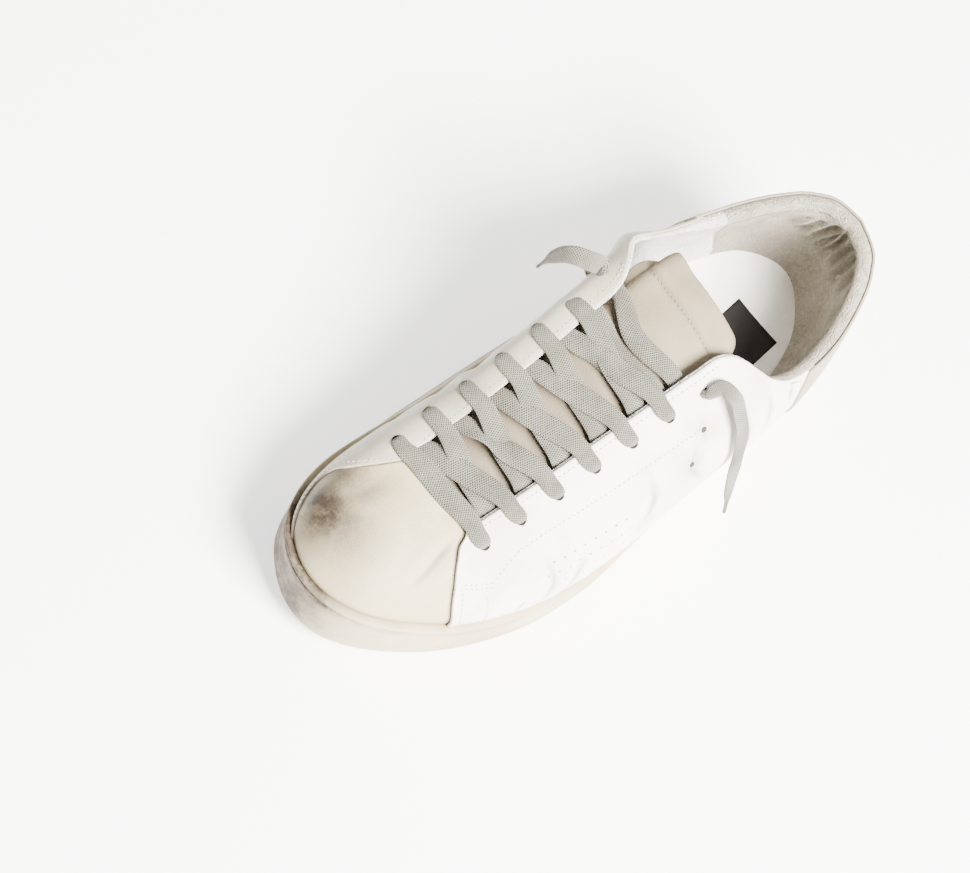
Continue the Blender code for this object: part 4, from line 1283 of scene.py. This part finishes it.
def tongue_point(y, across):
    """The middle of the tongue's thickness at a place."""
    lateral, medial = facing_at(-1, y), facing_at(1, y)
    middle = (lateral + medial) / 2
    to_tip = (y - TONGUE_TIP) / TONGUE_CORNER
    corner = TONGUE_CORNER * (1 - math.sqrt(max(1 - (1 - min(to_tip, 1)) ** 2, 0.0)))
    half = TONGUE_WIDTH / 2 - corner * (0.3 if across > 0 else 0.8)
    fallen = TONGUE_CROWN * (across * half / (TONGUE_WIDTH / 2)) ** 2
    height = middle[2] - TONGUE_DROP - fallen - TONGUE_THICKNESS / 2
    near_tip = math.exp(-(((y - TONGUE_TIP) / 0.020) ** 2))
    height += 0.0030 * near_tip * smooth_step(across, 0.45, 1.0)
    height += 0.0004 * math.sin(y * 420 + across * 3.0) * (1 - near_tip)
    return np.array([middle[0] + TONGUE_SHIFT + across * half - MIDDLE_X, y - MIDDLE_Y, height])


def build_tongue():
    across = np.sin(np.linspace(-math.pi / 2, math.pi / 2, TONGUE_COLUMNS))
    places = TONGUE_ROOT + (TONGUE_TIP - TONGUE_ROOT) * np.sin(np.linspace(0, math.pi / 2, TONGUE_ROWS))
    spine = np.array([[tongue_point(y, a) for a in across] for y in places])
    to_tip = np.clip((places - TONGUE_TIP) / 0.0016, 0, 1)
    tip_round = np.sqrt(1 - (1 - to_tip) ** 2)
    side_round = np.sqrt(np.clip(1 - np.abs(across) ** 14, 0, 1))
    seam = 0.75 * np.exp(-(((places - TONGUE_TIP - TONGUE_SEAM) / 0.0011) ** 2))
    thick = TONGUE_THICKNESS * np.clip(np.outer(tip_round, side_round), 0.12, 1)
    dent = np.outer(seam, np.ones(TONGUE_COLUMNS)) * 0.0006
    top = spine + TONGUE_UP * (thick / 2 - dent)[..., None]
    bottom = spine - TONGUE_UP * (thick / 2)[..., None]
    full = np.ones(TONGUE_COLUMNS)
    worn = 0.45 * np.outer(smooth_step(places, 0.125, 0.165), full) + 0.5 * np.outer(seam, full)
    edge = 0.5 * np.outer(np.ones(TONGUE_ROWS), smooth_step(np.abs(across), 0.8, 1.0))
    return sheet_between("tongue_pad", top, bottom, [("dirt_and_shade", np.clip(worn + edge, 0, 1))])


WING_LENGTH = 0.0300
WING_REACH = 0.0185
WING_DEPTH = 0.0019
WING_FALL = 0.0030
WING_CURL = 0.0020
WING_THICKNESS = 0.0014


def build_wing():
    """The lining's corner that has curled out past the tongue's inner side."""
    along = np.linspace(0, 1, 34)
    wide = np.linspace(0, 1, 24)
    top = []
    for v in along:
        row = []
        for u in wide:
            y = TONGUE_TIP + 0.0015 + WING_LENGTH * v
            start = tongue_point(y, 0.45)
            corner = math.sqrt(max(1 - (1 - min(v / 0.45, 1.0)) ** 2, 0.0))
            reach = WING_REACH * corner * (1 - 0.55 * smooth_step(v, 0.5, 1.0))
            height = WING_CURL * math.sin(math.pi * u) - WING_FALL * u * u - WING_DEPTH
            row.append(start + np.array([u * reach, 0, height]))
        top.append(row)
    top = np.array(top)
    darkening = [("dirt_and_shade", np.full(top.shape[:2], 0.10))]
    return sheet_between("tongue_wing", top, top - np.array([0, 0, WING_THICKNESS]), darkening)


dress(build_wing(), "tongue_leather", tongue_leather)
tongue = dress(build_tongue(), "tongue_leather", tongue_leather, "tongue")
print("tongue faces:", len(tongue.data.polygons))

# %% [markdown]
# ## Lacing
#
# The lace crosses the tongue as it really runs. From the top of an eyelet it goes over its facing and
# across, under the opposite facing, and up to the next eyelet towards the toe from below. Each run is a
# tape of its own from eyelet to eyelet, so the crossings can be laid one over the other exactly. The
# path comes from the places of the eyelets on the last, so it moves with them.

# %% Lace runs
def facing_sheet():
    points, normals = [], []
    turns = np.concatenate([np.linspace(turn_at(0.33, side), turn_at(0.95, side), 500) for side in (-1, 1)])
    for climb in np.linspace(0.5, 1.0, 50):
        points.append(upper_surface(turns, climb))
        normals.append(surface_normals(turns, climb))
    return np.concatenate(points), np.concatenate(normals)


SHEET_POINTS, SHEET_NORMALS = facing_sheet()


def beside_facing(side, y, inset):
    edge = facing_at(side, y)
    target = np.array([edge[0] + side * inset - MIDDLE_X, y - MIDDLE_Y])
    near = np.argsort(np.linalg.norm(SHEET_POINTS[:, :2] - target, axis=1))[:6]
    normal = SHEET_NORMALS[near].mean(axis=0)
    normal /= np.linalg.norm(normal)
    return SHEET_POINTS[near].mean(axis=0) + normal * OVERLAY, normal


def eyelet(side, number):
    first = FIRST_LATERAL_EYELET if side < 0 else FIRST_MEDIAL_EYELET
    return beside_facing(side, first - number * EYELET_PITCH, EYELET_INSET)


def own_frame(point):
    return np.array([point[0] - MIDDLE_X, point[1] - MIDDLE_Y, point[2]])


RUN_STEPS = 84
TAPE_UP = np.array([0, 0.32, 0.95])
UNDER_FACING = OVERLAY + WALL + 0.0022
RUN_RISE = 0.0012
RUN_WIDTHS = [
    (0, 4.2), (0.04, 5.2), (0.09, 7.0), (0.16, LACE_WIDTH / MM), (0.85, LACE_WIDTH / MM), (0.95, 5.6),
    (1, 4.2),
]
RUN_THICKS = [(0, 2.0), (0.12, 1.5), (0.5, 1.35), (0.9, 1.5), (1, 1.8)]


def lace_run(name, side, number, over, twist=0.0, replaced=()):
    """One run from the hole of an eyelet to the underside of the next on the other side."""
    centre, normal = eyelet(side, number)
    y = centre[1] + MIDDLE_Y
    straight = number == 0
    target = eyelet(-side, number)[0][1] + MIDDLE_Y + EYELET_PITCH * (0.0 if straight else 0.5)
    half, half_normal = beside_facing(side, y + (target - y) * HALF_SHARE, EYELET_INSET * HALF_INSET)
    edge = own_frame(facing_at(side, y + (target - y) * 0.15))
    edge = edge + np.array([-side * 0.0002, 0, RUN_RISE + OVERLAY])
    far = own_frame(facing_at(-side, target))
    flat = TAPE_UP
    start = [centre - normal * 0.0030, centre + normal * 0.0004, half + half_normal * RUN_RISE, edge]
    start_normals = [side * np.array([1.0, 0, 0.2]), normal, half_normal, half_normal * 0.5 + flat]
    if straight:
        last, last_normal = eyelet(-side, number)
        far_half, far_half_normal = beside_facing(-side, target, EYELET_INSET * HALF_INSET)
        far = far + np.array([side * 0.0002, 0, RUN_RISE + OVERLAY])
        middle = (edge + far) / 2 + np.array([0, 0, -0.0006])
        on_facing = far_half + far_half_normal * RUN_RISE
        points = start + [middle, far, on_facing, last + last_normal * 0.0004, last - last_normal * 0.003]
        down = -side * np.array([1.0, 0, 0.2])
        faces = start_normals + [flat, far_half_normal * 0.5 + flat, far_half_normal, last_normal, down]
    else:
        under, under_normal = eyelet(-side, number - 1)
        below, below_normal = beside_facing(-side, target + EYELET_PITCH * 0.15, EYELET_INSET * 0.55)
        far = far + np.array([side * 0.0022, 0, -0.0022])
        middle = edge + (far - edge) * 0.52 + np.array([0, 0, over])
        into = below - below_normal * (UNDER_FACING + 0.0004)
        points = start + [middle, far, into, under - under_normal * UNDER_FACING]
        faces = start_normals + [flat, flat, below_normal, under_normal]
    path = smooth_path(points, RUN_STEPS)
    blend = np.linspace(0, len(points) - 1, RUN_STEPS)
    places = range(len(points))
    normals = np.stack([np.interp(blend, places, [n[axis] for n in faces]) for axis in range(3)], axis=1)
    if twist:
        tangents = np.gradient(path, axis=0)
        tangents /= np.linalg.norm(tangents, axis=1, keepdims=True)
        turned = np.linspace(0, 1, RUN_STEPS)
        angle = twist * np.exp(-(((turned - 0.62) / 0.13) ** 2))[:, None]
        normals = normals * np.cos(angle) + np.cross(tangents, normals) * np.sin(angle)
    piece = tape(name, path, normals, along(RUN_WIDTHS, RUN_STEPS), along(RUN_THICKS, RUN_STEPS), 0.12)
    return dress(piece, "lace_cotton", cotton, *replaced)


def lace_top_bar(name, shares, sag, twist, replaced):
    """A bar across the tongue, from under one facing to under the other, sagging towards the toe."""
    medial_y, lateral_y = (share * SOLE_LENGTH for share in shares)
    ends = {side: own_frame(facing_at(side, y)) for side, y in ((1, medial_y), (-1, lateral_y))}
    deep = {side: beside_facing(side, y, EYELET_INSET * 0.7) for side, y in ((1, medial_y), (-1, lateral_y))}
    medial_in = deep[1][0] - deep[1][1] * UNDER_FACING
    lateral_in = deep[-1][0] - deep[-1][1] * UNDER_FACING
    near_medial = ends[1] + np.array([-0.0030, 0, -0.0030])
    near_lateral = ends[-1] + np.array([0.0030, 0, -0.0030])
    middle = (near_medial + near_lateral) / 2 + np.array([0.004, sag, 0.0004 - 0.3 * sag])
    path = smooth_path([medial_in, near_medial, middle, near_lateral, lateral_in], RUN_STEPS)
    normals = np.tile(TAPE_UP, (RUN_STEPS, 1))
    tangents = np.gradient(path, axis=0)
    tangents /= np.linalg.norm(tangents, axis=1, keepdims=True)
    turned = np.linspace(0, 1, RUN_STEPS)
    angle = twist * np.exp(-(((turned - 0.10) / 0.10) ** 2))[:, None]
    normals = normals * np.cos(angle) + np.cross(tangents, normals) * np.sin(angle)
    widths = along([(0, 5.6), (0.2, 8.0), (0.8, 8.2), (1, 6.6)], RUN_STEPS)
    piece = tape(name, path, normals, widths, along([(0, 1.4), (1, 1.4)], RUN_STEPS), 0.15)
    return dress(piece, "lace_cotton", cotton, replaced)


# The lower bar has slid up beside the upper one
LOW_BAR_SHARES = (0.4705, 0.4660)
lace_run("lace_straight_bar", -1, 0, 0.0, 0.0, ("lace_bar_1",))
TWISTS = {2: 0.9, 5: -0.8}
for number in range(1, EYELETS - 1):
    solid = f"lace_crossing_{number + 1}"
    lace_run(f"lace_run_{number}_lateral", -1, number, 0.0007, TWISTS.get(number, 0.0), (solid,))
    lace_run(f"lace_run_{number}_medial", 1, number, -0.0009, 0.0, ())
lace_top_bar("lace_low_bar", LOW_BAR_SHARES, 0.0040, 0.3, "lace_bar_2")
lace_top_bar("lace_high_bar", TOP_BARS[1], 0.0045, 0.5, "lace_bar_3")
print("lace runs:", 2 * (EYELETS - 2) + 3)

# %% [markdown]
# ## Two free ends
#
# Each end starts inside its top eyelet and comes out through it, so that no bare hole shows. From there
# it follows its own course of points, and it gets narrower and thicker where the tape folds.
# The medial end arches beside the shoe with its flat face to the viewer.

# %% Free ends
TOWARDS_CAMERA = (0.0, 0.52, 0.85)
for side_name, route, widths, thicks, lay in (
    ("lateral", LATERAL_END, LATERAL_WIDTHS, LATERAL_THICKS, "hanging"),
    ("medial", MEDIAL_END, MEDIAL_WIDTHS, MEDIAL_THICKS, "loose"),
):
    centre, normal = eyelet(-1 if side_name == "lateral" else 1, EYELETS - 1)
    rooted = np.concatenate([[centre - normal * 0.0022, centre + normal * 0.0012], np.array(route[1:]) * MM])
    path = smooth_path(rooted, END_STEPS)
    faces = end_faces(path) if side_name == "lateral" else np.tile(TOWARDS_CAMERA, (END_STEPS, 1))
    end = tape(f"lace_tail_{side_name}", path, faces, along(widths, END_STEPS), along(thicks, END_STEPS), 0.15)
    dress(end, "lace_cotton", cotton, f"lace_end_{side_name}")

# %% [markdown]
# ## Stitches
#
# Each stitch is a short rounded length of thread, sunk a little at both ends. A row follows a line given
# by share and climb, and one mesh holds all the stitches of a colour. An array on a curve could place
# them too, but would not lean each one to the leather's own slope.

# %% Stitch rows
STITCH_LENGTH = 0.0014
STITCH_PITCH = 0.0023
STITCH_RADIUS = 0.00028


def line_on_last(side, places, lift, count=160):
    rows = [(i, share, climb) for i, (share, climb) in enumerate(places)]
    at = np.linspace(0, len(places) - 1, count)
    shares, climbs = curve_through(rows, at, 1), curve_through(rows, at, 2)
    found = []
    for share, climb in zip(shares, climbs):
        turn = np.array([turn_at(min(max(share, 0.0), 1.0), side)])
        face, normal = upper_surface(turn, climb), surface_normals(turn, climb)
        sink = creased(face)[0]
        found.append((face + normal * (lift - sink)[:, None], normal))
    return np.concatenate([f for f, _ in found]), np.concatenate([n for _, n in found])


def stitch_row(line, normals, pitch=STITCH_PITCH):
    """Stitches at an even pitch: each is (middle, direction, normal)."""
    runs = np.concatenate([[0], np.cumsum(np.linalg.norm(np.diff(line, axis=0), axis=1))])
    at = np.arange(pitch / 2, runs[-1] - pitch / 2, pitch)
    middle = np.stack([np.interp(at, runs, line[:, k]) for k in range(3)], axis=1)
    ahead = np.stack([np.interp(at + pitch / 3, runs, line[:, k]) for k in range(3)], axis=1)
    normal = np.stack([np.interp(at, runs, normals[:, k]) for k in range(3)], axis=1)
    ways = zip(middle, ahead - middle, normal)
    return [(m, d / np.linalg.norm(d), n / np.linalg.norm(n)) for m, d, n in ways]


def stitch_mesh(name, stitches, finish):
    rings, sides = 5, 6
    points, faces = [], []
    for middle, direction, normal in stitches:
        across = np.cross(direction, normal)
        start = len(points)
        for i, place in enumerate(np.linspace(-1, 1, rings)):
            size = STITCH_RADIUS * math.sqrt(max(1 - (0.92 * place) ** 4, 0.05))
            dip = -STITCH_RADIUS * 1.1 * place ** 2
            for k in range(sides):
                a = 2 * math.pi * k / sides
                core = middle + direction * place * STITCH_LENGTH / 2
                points.append(core + normal * (dip + size * math.sin(a)) + across * size * math.cos(a))
        faces += [tuple(f) for f in grid_faces(rings, sides, start, wrap=True)]
        faces.append(tuple(start + k for k in range(sides - 1, -1, -1)))
        faces.append(tuple(start + (rings - 1) * sides + k for k in range(sides)))
    made = mesh_object(name, points, faces)
    return dress(outward(made), "stitch_thread", finish)


QUARTER = OVERLAY + 0.00012
LATERAL_ROWS = [
    [(0.395, 0.970), (0.45, 0.965), (0.55, 0.965), (0.65, 0.965), (0.74, 0.965), (0.805, 0.970)],
    [(0.845, 0.62), (0.814, 0.615), (0.785, 0.600)],
    [(0.843, 0.585), (0.813, 0.578), (0.787, 0.560)],
    [(0.845, 0.55), (0.838, 0.30), (0.828, 0.06)],
    [(0.800, 0.50), (0.796, 0.30), (0.790, 0.06)],
    [(0.785, 0.62), (0.760, 0.690), (0.737, 0.738), (0.704, 0.758),
     (0.668, 0.765), (0.60, 0.765), (0.52, 0.765), (0.44, 0.760)],
    [(0.222, 0.95), (0.215, 0.70), (0.212, 0.40), (0.214, 0.05)],
]
MEDIAL_ROWS = [
    [(0.405, 0.970), (0.45, 0.962), (0.55, 0.962), (0.65, 0.962), (0.76, 0.962), (0.86, 0.968)],
    [(0.925, 0.90), (0.912, 0.75), (0.900, 0.58), (0.888, 0.41), (0.900, 0.28), (0.932, 0.18), (0.965, 0.09)],
    [(0.250, 0.95), (0.243, 0.70), (0.240, 0.40), (0.241, 0.05)],
]
stitches = []
for side, rows in ((-1, LATERAL_ROWS), (1, MEDIAL_ROWS)):
    for places in rows:
        stitches += stitch_row(*line_on_last(side, places, QUARTER))
stitch_mesh("quarter_stitches", stitches, white_thread)
seam_places = np.linspace(-0.93, 0.93, 60)
seam_points = np.array([tongue_point(TONGUE_TIP + TONGUE_SEAM, across) for across in seam_places])
tongue_line = seam_points + TONGUE_UP * (TONGUE_THICKNESS / 2 - 0.0002)
tongue_row = stitch_row(tongue_line, np.tile(TONGUE_UP, (len(seam_places), 1)))
stitch_mesh("tongue_stitches", tongue_row, beige_thread)
print("stitches:", len(stitches))

# %% [markdown]
# ## Eyelets and vents
#
# The eyelets are plain holes punched through leather and lining, with no ring. The vents are small
# punched holes too. A Boolean cuts them all from the two quarters with one mesh of short rods, and a
# dark disc lies under each, because the inside of a small hole gets hardly any light.

# %% Punched holes
VENT_ROWS = [(0.36, 0.575, 0.690, 8), (0.46, 0.565, 0.700, 9), (0.56, 0.575, 0.690, 8)]
VENT_RADIUS = 0.00050
SIDE_VENTS = [((0.439, 0.744), 0.0014), ((0.462, 0.593), 0.0012)]


def rods(places, name, depth):
    bm = bmesh.new()
    for centre, normal, radius in places:
        turn = Vector((0, 0, 1)).rotation_difference(Vector(normal)).to_matrix().to_4x4()
        bmesh.ops.create_cone(
            bm, cap_ends=True, segments=20, radius1=radius, radius2=radius, depth=depth,
            matrix=Matrix.Translation(Vector(centre)) @ turn,
        )
    mesh = bpy.data.meshes.new(name)
    bm.to_mesh(mesh)
    bm.free()
    made = bpy.data.objects.new(name, mesh)
    bpy.context.scene.collection.objects.link(made)
    return made


def punch(piece, places):
    cutter = rods(places, "punch", 0.0036)
    cut = piece.modifiers.new("punch", "BOOLEAN")
    cut.operation = "DIFFERENCE"
    cut.solver = "EXACT"
    cut.object = cutter
    graph = bpy.context.evaluated_depsgraph_get()
    mesh = bpy.data.meshes.new_from_object(piece.evaluated_get(graph))
    piece.modifiers.clear()
    piece.data = mesh
    bpy.data.objects.remove(cutter)


def eyelet_holes(side):
    return [(*eyelet(side, number), EYELET_DIAMETER / 2) for number in range(EYELETS)]


def hole_at(side, share, climb, radius):
    turn = np.array([turn_at(share, side)])
    normal = surface_normals(turn, climb)[0]
    return upper_surface(turn, climb)[0] + normal * OVERLAY, normal, radius


vents = [
    hole_at(-1, share, climb, VENT_RADIUS)
    for climb, low, high, count in VENT_ROWS
    for share in np.linspace(low, high, count)
]
vents += [hole_at(-1, share, climb, radius) for (share, climb), radius in SIDE_VENTS]
lateral_holes = eyelet_holes(-1) + vents
medial_holes = eyelet_holes(1)
punch(lateral, lateral_holes)
punch(medial, medial_holes)
discs = [
    (np.array(c) - np.array(n) * (OVERLAY + 0.0001), n, 1.15 * r) for c, n, r in lateral_holes + medial_holes
]
shadows = rods(discs, "hole_shadows", 0.0004)
dress(shadows, "lining_cloth", hole_shadow)
print("holes:", len(lateral_holes) + len(medial_holes))
